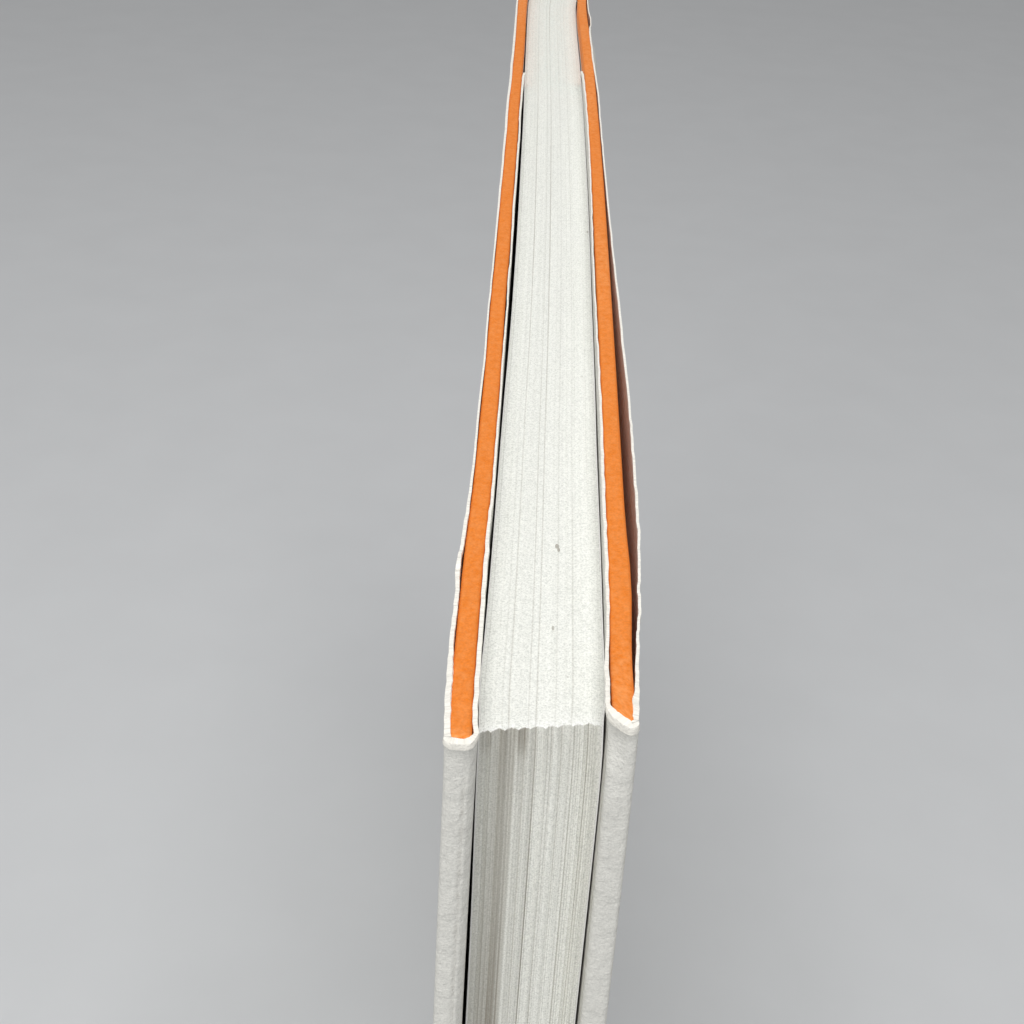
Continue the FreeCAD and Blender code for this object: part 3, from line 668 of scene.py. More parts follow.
def fore_edge_shade(x, z, from_end, tone):
    """How much shade is painted on the leaves at the fore-edge, apart from their openings.

    Those on the front cover's side carry a painted shadow, cast by the front cover and
    its jacket fold, which stand out in front of them, up to a wavering edge, and darker
    away from the head and the tail; the outermost, with painted light thrown back from
    inside the cover, and the ones in the middle are less dark.  A painted shadow of the
    jacket's bead lies near the head and the tail.  Each leaf then differs by its own tone."""
    band_end = -2.85
    past_band = x - band_end + 0.08 * np.sin(z / 11) + 0.1 * tone
    depth = 0.41 + 0.09 * ease(from_end / 24) + 0.13 * ease((from_end - 22) / 16)
    dark = (1 - ease(past_band / 0.62)) * depth
    outermost = 0.33 * bell(x, -5.4, 1.1)
    second = 0.10 * bell(x, -4.7, 0.7) * (1 - ease((from_end - 6) / 12))
    dark = dark - outermost - second + 0.03 * (1 - ease(x - 1.5))
    near_end = (1 - ease((x + 1.4) / 0.35)) * (1 - ease((from_end - 1) / 4)) * 0.34
    middle = ease((x + 2.74) / 0.22) * (1 - ease((x + 0.66) / 0.2)) * 0.15
    dark = np.maximum(dark, near_end) + middle + 0.12 * (1 - ease(from_end / 12))
    return dark * (1 + 0.22 * tone) + 0.03 * tone


def dust_specks():
    """Points, faces and shades of the specks: each is a flat ellipsoid that lies on the head."""
    lattice, skin, _ = skin_of_lattice([4, 4, 2])
    ball = lattice - np.array([2, 2, 1])
    ball = ball / np.linalg.norm(ball, axis=1, keepdims=True)
    across, deep, half_across, half_deep, shade = np.array(SPECKS).T
    half = np.stack([half_across, half_deep, np.full_like(shade, 0.05)], -1)
    middle = np.stack([across, deep, np.full_like(shade, HEAD)], -1)
    points = (ball * half[:, None] + middle[:, None]).reshape(-1, 3)
    first = len(ball) * np.arange(len(SPECKS))
    return points, (skin + first[:, None, None]).reshape(-1, 4), np.repeat(shade, len(ball))


def make_page_block(sizes, colours):
    """Sewn sections as one closed block, with specks of dust on its head.

    At the fore-edge each section hollows in between its edges, leaf by leaf with
    a small random step, and less away from the ends; at the spine it rounds
    out.  Head and tail are flat but for a narrow groove at each opening."""
    across, fore, hollow, fold, head_step, tone = section_shapes(sizes)
    deep = stations([(0, 0.12), (0.24, 0.8), (3, 3), (12, 4.8), (290, 3), (303, 0.5), (305, 1)])
    deep /= deep[-1]
    up = stations([(TAIL, 0.15), (TAIL + 0.3, 2), (TAIL + 6, 9), (HEAD - 22, 3), (HEAD - 7, 0.9),
                   (HEAD - 0.6, 0.15), (HEAD, 1)])
    corners, faces, _ = skin_of_lattice([len(across) - 1, len(deep) - 1, len(up) - 1])
    i, j, k = corners.T
    x = across[i]
    z = up[k]
    from_end = np.minimum(HEAD - z, z - TAIL)
    front = fore[i] + hollow[i] * (0.3 + 0.7 * np.exp(-from_end / 2.2))
    y = front + (fold[i] - front) * deep[j]

    on_fore = j == 0
    on_head = k == len(up) - 1
    on_tail = k == 0
    on_end = on_head | on_tail
    open_head, open_fore = leaf_openings(x, y, z)
    waver = 0.03 * np.sin(z / 9 + x * 2.1) + 0.02 * np.sin(z / 3.1 + x * 5)
    y = y + on_fore * (0.14 * open_fore + waver)
    from_front = np.abs(y - front)
    rim = 0.05 * np.exp(-from_front / 0.25) * (0.6 + 0.4 * np.sin(x * 23))
    z = z + (on_head * 1.0 - on_tail) * (head_step[i] - 0.08 * open_head - rim)

    # Painted shade: the fore-edge's shadow, the gaps between leaves, and a darkening of the head and the tail
    # towards the back cover's side.
    fore_shade = fore_edge_shade(x, z, from_end, tone[i]) + 0.50 * open_fore
    end_shade = 0.80 * open_head + 0.06 * ease((x - 4.6) / 1.3)
    shade = np.clip(on_fore * fore_shade + on_end * ~on_fore * end_shade, 0, 0.9)
    streaked = on_fore * (0.65 + 0.35 * ease((x - 2) / 2.5))
    # Painted highlight along the front edge of the head and the tail.
    bright = on_end * np.exp(-from_front / 0.55)

    specks, speck_faces, speck_shade = dust_specks()
    sheet = np.vstack([np.stack([x, y, z], -1), specks])
    faces = np.vstack([faces, speck_faces + len(x)])
    plain = (0, len(specks))
    # From here towards the spine the head is painted cooler, against reflected orange light.
    bounce_cancel_from = 203
    points = in_block(*sheet.T)
    block = add_piece("page_block", points, [outward(points, faces)], {
        "sheet": sheet * MM, "shade": np.append(shade, speck_shade), "fore": np.pad(streaked, plain),
        "bright": np.pad(bright, plain), "orange_bounce_cancel": ease((sheet[:, 1] - bounce_cancel_from) / 14)},
        page_finish(colours.pages), sharp=50)
    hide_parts("text_block")
    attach(block, "book_block")


# ------------------------------------------------------------------ endpapers

def sheet_mesh(middle, thickness):
    """A sheet of paper round a middle surface given as a grid of points.

    Its two faces lie half a thickness along the surface's normal, which is the
    cross product of the grid's two slopes.  The thickness may vary by point."""
    rows, columns = middle.shape[:2]
    thickness = np.broadcast_to(thickness, (rows, columns))[..., None]
    normal = np.cross(np.gradient(middle, axis=0), np.gradient(middle, axis=1))
    normal /= np.linalg.norm(normal, axis=-1, keepdims=True)
    corners, faces, _ = skin_of_lattice([rows - 1, 1, columns - 1])
    i, j, k = corners.T
    points = middle[i, k] + (j - 0.5)[:, None] * (normal * thickness)[i, k]
    return points, outward(points, faces), i, k, j


def on_sheet(along, up, i, k):
    """Coordinates along and up a flat sheet, in metres, for the points of its mesh."""
    return np.stack([along[i], 0 * along[i], up[k]], -1) * MM


def hinge_span(side):
    """Where the case's hinge leaves the spine and where it has joined the cover, in metres."""
    start = in_book(side, COVER_OUT, GROOVE_BACK - 0.1, TOP)
    end = in_book(side, COVER_OUT, COVER_BACK + 0.25, TOP)
    end[0] = start[0]
    return tuple(start * MM), tuple(end * MM)


def make_flyleaf(name, side, finish):
    """A flyleaf beside the first or the last leaf, with a slightly uneven fore-edge."""
    middle_of_leaf = (LEAF_HALF + BLOCK_HALF) / 2
    up = stations([(TAIL, 0.3), (TAIL + 0.6, 8), (HEAD - 12, 3), (HEAD - 0.6, 0.3), (HEAD + 0.06, 1)])
    deep = stations([(-0.22, 0.25), (1, 2), (10, 5), (FOLD_TIP - 4, 1), (FOLD_TIP - 0.6, 1)])
    edge = 0.05 * ripple(up, 0, 31 + side, longest=60)
    y = deep[:, None] + SKEW * side * middle_of_leaf + bell(deep, -0.2, 1.5)[:, None] * edge
    middle = in_block(side * middle_of_leaf, y, up)
    points, faces, i, k, _ = sheet_mesh(middle, BLOCK_HALF - LEAF_HALF - 0.01)
    looks = {"sheet": on_sheet(deep, up, i, k)}
    leaf = add_piece(f"{name}_endpaper_leaf", points, [faces], looks, finish)
    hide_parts(f"{name}_flyleaf")
    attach(leaf, "book_block")


def make_pastedown(name, side, sizes, finish):
    """A pastedown on the inside of its cover, which turns over at the joint.

    It lies over the turn-ins, steps down into the joint groove, thinner there,
    and ends in a narrow strip glued to the shoulder."""
    clear = 0.017
    paste = BOARD_IN - 0.07
    hinge = GROOVE_IN - clear
    place, stops = path_along(
        [(hinge, GROOVE_BACK + 0.6), (hinge, COVER_BACK - 0.35), (paste, COVER_BACK - 1.1),
         (paste, PASTE_FRONT)], 0.5)
    low = sizes.turn_in / MM
    high = TOP - low
    edge = stops[3] - low + PASTE_FRONT - COVER_FRONT
    along = stations([(0, 0.12), (stops[2] + 0.6, 1), (stops[2] + 6, 6), (edge - 2, 0.5),
                      (edge + 1, 2), (stops[3] - 1, 0.5), (stops[3], 1)])
    up = stations([(PASTE_LOW[2], 0.4), (PASTE_LOW[2] + 2, 3), (low - 1, 0.5), (low + 2, 12),
                   (high - 2, 0.5), (high + 1, 2), (PASTE_HIGH[2], 1)])
    out, deep = place(along).T[..., None]
    on_cover = ease((out - hinge) / (paste - hinge))
    turned_in = np.maximum(ease(along[:, None] - edge + 1), 1 - ease(up - low))
    turned_in = np.maximum(turned_in, ease(up - high + 1)) * on_cover
    middle = in_book(side, out - (paste - COVER_IN + clear) * turned_in, deep, up)
    thickness = 0.05 + 0.08 * on_cover - 0.10 * turned_in
    points, faces, i, k, _ = sheet_mesh(middle, thickness)
    looks = {"sheet": on_sheet(along, up, i, k)}
    paste_piece = add_piece(f"{name}_endpaper_paste", points, [faces], looks, finish)
    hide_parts(f"{name}_pastedown")
    start, end = hinge_span(side)
    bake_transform(paste_piece)


def make_endpapers(sizes, colours):
    """A flyleaf and a pastedown for each cover."""
    finish = paper_finish("endpaper", colours.endpaper, "sheet", mottle=0.03)
    for name, side in SIDES.items():
        make_flyleaf(name, side, finish)
        make_pastedown(name, side, sizes, finish)


# ------------------------------------------------------------------------ case

def bumped_corner(side, out, deep, up):
    """How far the back cover's knocked fore corner at the head is pushed towards the spine.

    It is greatest at the inside of the board and at the head, and fades out
    along the board, towards its outside and down the fore-edge."""
    if side == FRONT:
        return 0 * out
    push, along, down = 2.15, 11, 8
    outermost = COVER_OUT - 0.5
    inside = np.clip((outermost - out) / (outermost - FLAP_IN), 0, 1)
    return push * inside * (1 - ease((deep - CREASE) / along)) * ease((up - TOP + down) / down)


def make_boards(sizes, colours):
    """A greyboard in each cover, as a box with rounded edges, just clear of the covering."""
    finish = board_finish(colours.greyboard)
    radius = 0.36
    clear = 0.01
    low = np.array([BOARD_IN + clear, COVER_FRONT + PAPER + clear, PAPER + clear])
    high = np.array([BOARD_HIGH[0] - clear, COVER_BACK - PAPER - clear, TOP - PAPER - clear])
    out = stations([(low[0], 0.12), (low[0] + radius, 0.6), (high[0] - radius, 0.12), (high[0], 1)])
    deep = stations([(low[1], 0.12), (low[1] + 0.4, 1.5), (low[1] + 14, 8), (high[1] - 0.4, 0.12),
                     (high[1], 1)])
    up = stations([(low[2], 0.12), (low[2] + 0.4, 9), (high[2] - 9, 1.5), (high[2] - 0.4, 0.12),
                   (high[2], 1)])
    corners, faces, _ = skin_of_lattice([len(out) - 1, len(deep) - 1, len(up) - 1])
    i, j, k = corners.T
    plain = rounded_box(np.stack([out[i], deep[j], up[k]], -1), low, high, radius)
    for name, side in SIDES.items():
        x, y, z = plain.T
        points = in_book(side, x, y + bumped_corner(side, x, y, z), z)
        board = add_piece(f"{name}_cover_board", points, [outward(points, faces)], {}, finish)
        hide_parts(f"{name}_board")
        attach(board, f"{name}_cover")


def covering_path(side):
    """The path in plan of the covering's outside, and the places opposite its stops inside the case."""
    groove_out = GROOVE_IN + PAPER
    place, stops = path_along(
        [(COVER_OUT, COVER_FRONT), (COVER_OUT, COVER_BACK), (groove_out, COVER_BACK),
         (groove_out, GROOVE_BACK), (COVER_OUT, INLAY_FRONT), (COVER_OUT, SPINE_BACK),
         (0, SPINE_BACK - side * SLIDE)], 0.55)
    lip = INLAY_FRONT - 0.2
    inner = np.array(
        [(COVER_IN, COVER_FRONT), (COVER_IN, COVER_BACK - 0.2), (COVER_IN, COVER_BACK - 0.2),
         (groove_out - 0.1, GROOVE_BACK), (COVER_OUT - 0.3, lip), (COVER_OUT - 0.4, lip),
         (0, lip - side * SLIDE)])
    return place, stops, inner


def covering_wear(side, s, z):
    """How rubbed the covering is: most along its edges, and pale over long stretches of a cover."""
    rub = np.maximum(bell(s, 0.1, 1.2), np.maximum(bell(z, TOP, 0.25), bell(z, 0, 0.4)) * 0.3)
    pale = 0.6 * ease((s - 220) / 60)
    if side == BACK:
        pale = 0.1 + 0.42 * (1 - ease((s - 4) / 22)) + 0.4 * bell(s, 110, 45)
        pale = pale + 0.45 * ease((s - 150) / 50)
    return np.maximum(rub, pale)


def make_covering(sizes, colours):
    """One half of the coloured covering on each side, from its turn-ins to the middle of the spine.

    The sheet follows the cover's outside, steps down into the joint groove,
    rises to the spine and crosses to its middle.  Round the board and the spine
    it is the skin of a box with rounded edges, bent along that path, and it
    stops inside at the turn-in.  It is then thickened inwards."""
    finish = covering_finish(colours.covering)
    turn_in = sizes.turn_in / MM
    thick = COVER_OUT - COVER_IN
    for name, side in SIDES.items():
        place, stops, inner = covering_path(side)
        along = stations([
            (0, 0.1), (0.6, 0.8), (3, 3), (turn_in, 6), (stops[1] - 12, 2), (stops[1] - 0.5, 0.12),
            (stops[2] + 0.5, 0.15), (stops[3] + 0.5, 0.25), (stops[4] - 0.5, 0.12),
            (stops[5] + 0.5, 0.8), (stops[6], 1)])
        depth = stations([(0, 0.1), (0.5, 0.3), (thick - 0.5, 0.1), (thick, 1)])
        up = stations([(0, 0.1), (0.5, 3), (turn_in, 10), (TOP - turn_in, 3), (TOP - 3, 0.8),
                       (TOP - 0.6, 0.1), (TOP, 1)])
        corners, faces, ends = skin_of_lattice([len(along) - 1, len(depth) - 1, len(up) - 1])
        i, j, k = corners.T
        flat = np.stack([along[i], depth[j], up[k]], -1)
        far_off = 1e4
        flat = rounded_box(flat, (0, 0, 0), (far_off, thick, TOP), sizes.edge_round / MM)
        s, d, z = flat.T
        outside = place(s)
        inside = between(s, stops, inner)
        x, y = (outside + (inside - outside) * (d / thick)[:, None]).T
        # Near the back cover's fore corner the covering stands off the board at the head.
        burst = 0.28 * bell(y, 20, 14) * np.exp((z - TOP) / 6) * ease((x - COVER_IN - 0.9) / 1.1)
        burst = burst * (side == BACK)
        points = in_book(side, x + burst, y + bumped_corner(side, x, y, z), z)

        # Only one layer is left in the joint and the spine, and none inside past the turn-in.
        centre_s = along[i][faces].mean(1)
        centre_z = up[k][faces].mean(1)
        single = (centre_s > stops[1] + 0.2) & (centre_s < stops[4] + 0.1)
        window = (centre_s > turn_in) & (centre_z > turn_in) & (centre_z < TOP - turn_in)
        gone = (ends == 1) | ((ends >= 4) & single) | ((ends == 3) & (single | window))
        used, kept = np.unique(outward(points, faces)[~gone], return_inverse=True)
        kept = kept.reshape(-1, 4)
        points, s, z = points[used], s[used], z[used]

        looks = {"sheet": flat[used] * MM, "wear_and_shade": covering_wear(side, s, z)}
        cover = add_piece(f"{name}_case_covering", points, [kept], looks, finish)
        wall = cover.modifiers.new("paper", "SOLIDIFY")
        wall.thickness = (PAPER - 0.02) * MM
        wall.offset = -1
        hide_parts(f"{name}_covering", "spine_covering")
        start, end = hinge_span(side)
        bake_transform(cover)


# ---------------------------------------------------------------------- jacket

# How far the panel stands off the cover at the head, from the fore-edge to the
# spine, where the middle of the flap lies there, and how much the paper has
# thickened at its edge: it has softened most near the fore corners.
STAND_OFF = {
    FRONT: ((-4, 2, 5.3, 12, 16, 20.7, 23.5, 27.4, 32.5, 43, 50, 62, 77, 94, 123, 135, 160, 191, 240,
             275, 297),
            (0.16, 0.26, 0.28, 0.33, 0.30, 0.36, 0.58, 0.27, 0.20, 0.13, 0.08, 0.11, 0.08, 0.02, 0.10,
             0.05, 0.14, 0.18, 0.25, 0.15, 0)),
    BACK: ((-4, -1, 0.5, 5, 7, 9.4, 12, 13.7, 18, 21, 25, 30, 41, 54, 67, 75, 92, 101, 112, 122, 134,
            147, 175, 192, 206, 221, 246, 256, 264, 300),
           (0.0, 0.11, 0.22, 0.38, 0.46, 0.55, 0.65, 0.82, 0.90, 1.01, 1.15, 1.29, 1.31, 1.30, 1.22,
            1.08, 0.85, 0.68, 0.53, 0.43, 0.31, 0.21, 0.13, 0.25, 0.16, -0.05, -0.05, 0.60, 0.30, 0)),
}
FLAP_PLACE = {
    FRONT: ((-4, 8, 27, 32.5, 38, 62, 69, 77, 94, 103, 135, 160, 191, 206, 212),
            (6.44, 6.44, 6.44, 6.58, 6.53, 6.54, 6.56, 6.50, 6.40, 6.45, 6.48, 6.44, 6.46, 6.46, 6.42)),
    BACK: ((-4, 3, 7, 9.4, 12, 14, 18, 21, 30, 41, 50, 67, 75, 92, 112, 122, 134, 147, 160, 192, 206,
            212),
           (6.30, 6.30, 6.40, 6.47, 6.52, 6.55, 6.50, 6.55, 6.50, 6.49, 6.53, 6.55, 6.50, 6.38, 6.36,
            6.42, 6.51, 6.53, 6.58, 6.58, 6.42, 6.30)),
}
SWELL = {
    FRONT: ((-4, 5, 8, 12, 16, 20, 23.5, 27, 32.5, 38, 50, 110, 123, 150, 190, 240, 300),
            (0.50, 0.50, 0.36, 0.26, 0.26, 0.24, 0.36, 0.20, 0.24, 0.12, 0.05, 0.02, 0.10, 0.16, 0.30,
             0.32, 0.10)),
    BACK: ((-4, -0.7, 0.6, 2, 7, 12, 15, 25, 35, 60, 75, 110, 190, 221, 246, 256, 300),
           (0.50, 0.54, 0.32, 0.20, 0.12, 0.05, 0.10, 0.07, 0.12, 0.05, 0.10, 0.03, 0.06, 0.15, 0.15,
            0.0, 0.0)),
}
FLAP_SWELL = {
    FRONT: ((-4, 8, 27, 33, 38, 50, 77, 113, 123, 160, 191, 212),
            (0.30, 0.27, 0.27, 0.12, 0.12, 0.05, 0.0, 0.02, 0.12, 0.12, 0.15, 0.30)),
    BACK: ((-4, 3, 7, 12, 20, 41, 55, 75, 150, 190, 212),
           (0.30, 0.28, 0.15, 0.08, 0.17, 0.17, 0.12, 0.0, 0.03, 0.08, 0.30)),
}
# Small tears and dents in the head edge: length along the jacket measured from
# the outer crease (panel negative, flap positive), half-width and depth.
NICKS = {
    FRONT: ((-27.9, 0.7, 0.45), (-26.2, 0.4, 0.3), (-31.5, 0.5, 0.25), (-12.5, 0.5, 0.18),
            (57.0, 0.8, 0.18), (103.0, 0.7, 0.22), (131.0, 1.2, 0.2), (166.0, 0.8, 0.2),
            (188.0, 0.5, 0.25)),
    BACK: ((-258.0, 1.6, 0.7), (-206.0, 0.8, 0.2), (-118.0, 1.0, 0.15), (-49.0, 0.5, 0.12),
           (121.0, 2.0, 0.25), (64.0, 0.8, 0.12)),
}


# The rest that differs between the sides: where the fold at the fore-edge and the
# flap lie, measured from FLAP_IN; how wide the fold rounds; how far below the head
# the panel stands off and the flap keeps its place; how far down the edge has
# softened; how thick it is over the fore-edge; and how dark the shade painted
# under its bead there is.
JACKET = {
    FRONT: {"fold": -0.05, "flap": 0.14, "round": 0.80, "panel_reach": 1.7, "flap_reach": 14,
            "softened": 1.1, "strip_swell": 0.70, "bead_shadow": 0.5},
    BACK: {"fold": 0.17, "flap": 0.25, "round": 0.08, "panel_reach": 42, "flap_reach": 1.1,
           "softened": 1.35, "strip_swell": 0.86, "bead_shadow": 0.15},
}


def jacket_path(side, flap_end):
    """The jacket's path in plan, and its stops.

    It goes from the middle of the spine round the spine's edge, along the
    panel, over the fore-edge and back along the inside."""
    crease = CREASE + 0.1
    fold = FLAP_IN + JACKET[side]["fold"]
    flap = FLAP_IN + JACKET[side]["flap"]
    reach = JACKET[side]["round"]
    place, stops = path_along(
        [(0, JACKET_SPINE - side * SLIDE), (PANEL_OUT, JACKET_SPINE), (PANEL_OUT, crease),
         (fold + reach, crease), (fold, crease + reach), (flap, crease + reach + 1.6),
         (flap, flap_end)], 0.9)
    return place, np.concatenate([stops[:3], [(stops[3] + stops[4]) / 2], stops[6:]])


def jacket_stations(stops, softened):
    """Stations along and up the jacket, close together at its bends and its head edge."""
    joint = stops[1] + JACKET_SPINE - PIVOT
    along = stations([
        (0, 1), (stops[1] - 1, 0.12), (stops[1] + 0.8, 0.4), (joint - 2.2, 0.12), (joint + 2.2, 1.5),
        (joint + 10, 4.5), (stops[2] - 60, 1.6), (stops[2] - 34, 0.4), (stops[2] - 0.8, 0.1),
        (stops[2] + 0.7, 0.2), (stops[3] - 0.7, 0.1), (stops[3] + 0.8, 0.5), (stops[3] + 12, 1.6),
        (stops[3] + 60, 2.6), (stops[4] - 6, 0.4), (stops[4], 1)])
    low = WRAP_LOW[2]
    up = stations([(low, 0.3), (low + 0.9, 2), (low + 7, 14), (TOP - 70, 8), (TOP - 30, 3),
                   (TOP - 9, 1.1), (TOP - softened, 0.085), (TOP, 1)])
    return along, up


def softened_edge(side, s, deep, rise, crease, shares):
    """How much thicker the paper has grown towards its head edge.

    Panel, fore-edge strip and flap each have their own thickness along the
    edge, with a ripple; it eases in from below and rounds off at the top."""
    on_panel, on_strip, on_flap = shares
    swollen = (on_panel * smooth_curve(deep, *SWELL[side]) + on_strip * JACKET[side]["strip_swell"]
               + on_flap * smooth_curve(deep, *FLAP_SWELL[side]))
    if side == BACK:
        swollen = swollen * (1 - 0.3 * bell(s, crease + 0.3, 0.9))
    swollen = swollen * (1 + 0.14 * ripple(s, 0, 41 + side, waves=6, longest=4))
    return swollen * ease(rise * (1.5 + 1.7 * on_strip)) * (1 - 0.3 * rise**6)


def torn_edge(side, s, crease, on_strip):
    """How far the head edge strays from its line: a slow wave, fine tears in patches, and nicks."""
    edge = 0.03 * ripple(s, 0, 3 + side, longest=9) - 0.03 - 0.10 * on_strip
    torn = ripple(s, 0, 13 + side, waves=6, longest=1.4)
    torn = torn * ease(0.5 + ripple(s, 0, 17 + side, longest=12))
    edge = edge + (0.03 + 0.03 * on_strip) * torn
    for centre, half_width, depth in NICKS[side]:
        edge = edge - depth * bell(s - crease, centre, half_width)
    return edge


def jacket_wear_and_shade(side, s, below, stops, on_strip, valley):
    """How rubbed the jacket is along its bends, and how much shade is painted on it: under the bead over the
    fore-edge, in the valley, and inside the back cover's fold.
    """
    worn_and_shaded = np.maximum(bell(s, stops[2], 0.8), bell(s, stops[3], 0.8)) * 0.10
    worn_and_shaded = np.maximum(worn_and_shaded, bell(s, stops[1], 1.0) * 0.2)
    # Painted shade under the bead over the fore-edge.
    worn_and_shaded = np.maximum(worn_and_shaded, on_strip * bell(below, 1.4, 0.3) * JACKET[side]["bead_shadow"])
    # Painted shade in the pressed valley.
    worn_and_shaded = np.maximum(worn_and_shaded, 0.7 * valley)
    if side == BACK:
        # Painted shadow on the flap's wall inside the back cover's fold, beside the leaves.
        fold_shadow = ease((s - stops[3]) / 0.3) * (1 - ease((s - stops[3] - 4) / 3))
        worn_and_shaded = np.maximum(worn_and_shaded, fold_shadow * ease(below / 3))
    return worn_and_shaded


def jacket_surface(side, sizes):
    """The middle of the jacket paper, its thickness, and its rubbing with painted shade, from the spine to the
    flap's end.

    The path in plan is carried up the height.  The panel stands off by an amount
    that fades below the head.  In the topmost part the paper grows thicker
    towards the cover, and into a bead over the fore-edge."""
    way = JACKET[side]
    flap = FLAP_IN + way["flap"]
    flap_end = CREASE + sizes.flap_length / MM
    place, stops = jacket_path(side, flap_end)
    along, up = jacket_stations(stops, way["softened"])
    plan = place(along)
    heading = np.gradient(plan, axis=0)
    heading /= np.linalg.norm(heading, axis=1, keepdims=True)
    towards_board = np.stack([heading[:, 1], -heading[:, 0]], -1)

    s = along[:, None]
    out, deep, z = (part.copy() for part in np.broadcast_arrays(plan[:, :1], plan[:, 1:], up))
    on_flap = ease((s - stops[3] + 0.6) / 1.2)
    on_strip = ease((s - stops[2] + 0.6) / 1.2) * (1 - on_flap)
    on_panel = 1 - on_strip - on_flap
    near_panel = ease((out - FLAP_IN) / (PANEL_OUT - FLAP_IN)) * (1 - on_flap)

    # The panel stands off the cover, and bulges behind its fore corners.
    below = TOP - z
    out += near_panel * smooth_curve(deep, *STAND_OFF[side]) / (1 + (below / way["panel_reach"]) ** 2)
    out += near_panel * bell(deep, 20, 26) * 0.25 * bell(below, 90, 80)
    # The flap has its own place at the head, and its end leans away from the leaves.
    flap_shift = smooth_curve(deep, *FLAP_PLACE[side]) - flap
    out += on_flap * flap_shift / (1 + (below / way["flap_reach"]) ** 2)
    if side == BACK:
        out += near_panel * 1.25 * bell(deep, 233, 32) * np.exp(-below / 60) * ease(below / 3.5)
    out -= on_flap * ease((z - HEAD) / (TOP - HEAD)) * 0.16 * bell(deep, flap_end, 3.5)

    # Handling has dented the sheet; over the fore-edge it bulges, with a pressed valley in front.
    dents = ripple(deep * 0.8 + out, z, 5 + side, longest=14)
    fine_dents = ripple(deep + out * 2, z, 9 + side, longest=3.2)
    out += near_panel * (dents * 0.03 + fine_dents * 0.01) * ease((deep - CREASE) / 30)
    bulge = 1 - (2 * (out - flap) / (PANEL_OUT - flap) - 1) ** 2
    deep -= on_strip * (0.10 * bulge + 0.04 * dents + 0.022 * fine_dents)
    valley = bell(s, stops[3] - 0.77, 0.40) * on_strip * (side == FRONT) * ease((below - 2) / 3)
    deep += 0.12 * valley

    # At the head edge the paper has softened, thickened and curled, and it is torn.
    rise = np.clip(1 - below / way["softened"], 0, 1)
    swollen = softened_edge(side, s, deep, rise, stops[2], (on_panel, on_strip, on_flap))
    curl = 0.04 - 0.14 * on_strip + 0.10 * bell(s, stops[2], 0.9)
    curl = curl + 0.07 * ripple(s, 0, 21 + side, waves=7, longest=5)
    inward = curl * rise**2 + on_panel * swollen / 2
    out += inward * towards_board[:, :1]
    deep += inward * towards_board[:, 1:]
    z = z + torn_edge(side, s, stops[2], on_strip) * ease((z - TOP + 2) / 2)
    middle = in_book(side, out, deep + bumped_corner(side, out, deep, z), z)

    # Rubbing along the bends, and painted shade in the hollows.
    worn_and_shaded = np.broadcast_to(jacket_wear_and_shade(side, s, below, stops, on_strip, valley), z.shape)
    raw = np.maximum(ease((rise - 0.7) * 4), np.clip(swollen / 0.14, 0, 1))
    if side == BACK:
        raw = np.maximum(raw, 0.7 * on_strip * (1 - ease((below - 0.8) / 0.6)))
    return middle, sizes.jacket_paper / MM + swollen, along, up, worn_and_shaded, raw


def make_jacket(sizes, colours):
    """Half of the dust jacket on each side, meeting at the middle of the spine."""
    finish = paper_finish("jacket_paper", colours.jacket, "sheet", mottle=0.07,
                          roughness=0.66, tooth=0.05, crumple=0.16, raw=tuple(colours.jacket_edge))
    half_joint = 1.6
    for name, side in SIDES.items():
        middle, thickness, along, up, worn_and_shaded, raw = jacket_surface(side, sizes)
        points, faces, i, k, inner = sheet_mesh(middle, thickness)
        face_inside = inner if side == BACK else 1 - inner
        # Rubbing and painted shade share one attribute.
        looks = {"sheet": on_sheet(along, up, i, k), "wear_and_shade": worn_and_shaded[i, k],
                 "raw": np.maximum(raw[i, k], face_inside)}
        wrap = add_piece(f"{name}_dust_jacket", points, [faces], looks, finish)
        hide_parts(f"{name}_jacket_wrap", "jacket_spine")
        start = in_book(side, JACKET_OUT, PIVOT + half_joint, TOP)
        end = in_book(side, JACKET_OUT, PIVOT - half_joint, TOP)
        start[0] = end[0] = side * JACKET_OUT
        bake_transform(wrap)


# ------------------------------------------------------------------- headbands

def wound_bead(half, radius, body_end, direction):
    """A bead wound with thread: a circle carried across the spine, closed at its two ends.

    Its radius swells once for each turn of thread, along a helix.  Gives points,
    how far each stands out on its turn, four-sided faces and the ends' triangles."""
    thread_pitch = 0.62
    across = np.linspace(-half, half, 241)
    angle = np.linspace(0, 2 * math.pi, 25)[:-1]
    across, angle = np.meshgrid(across, angle, indexing="ij")
    winding = 0.5 + 0.5 * np.cos(across * 2 * math.pi / thread_pitch + angle)
    swell = radius * (0.9 + 0.1 * winding)
    overhang = 0.3
    deep = overhang - radius + swell * np.cos(angle)
    up = body_end + direction * (radius + swell * np.sin(angle))
    rings = np.stack([across, deep, up], -1)
    points = np.vstack([rings.reshape(-1, 3), rings[[0, -1]].mean(1)])
    first = np.arange(across.size).reshape(across.shape)
    beside = np.roll(first, -1, axis=1)
    quads = np.stack([first[:-1], first[1:], beside[1:], beside[:-1]], -1).reshape(-1, 4)
    centre = np.full(across.shape[1], across.size)
    ends = np.vstack([np.stack([first[0], beside[0], centre], -1),
                      np.stack([beside[-1], first[-1], centre + 1], -1)])
    if enclosed(points, quads) + enclosed(points, ends) < 0:
        quads, ends = quads[:, ::-1], ends[:, ::-1]
    return points, np.append(winding.ravel(), [0.5, 0.5]), quads, ends


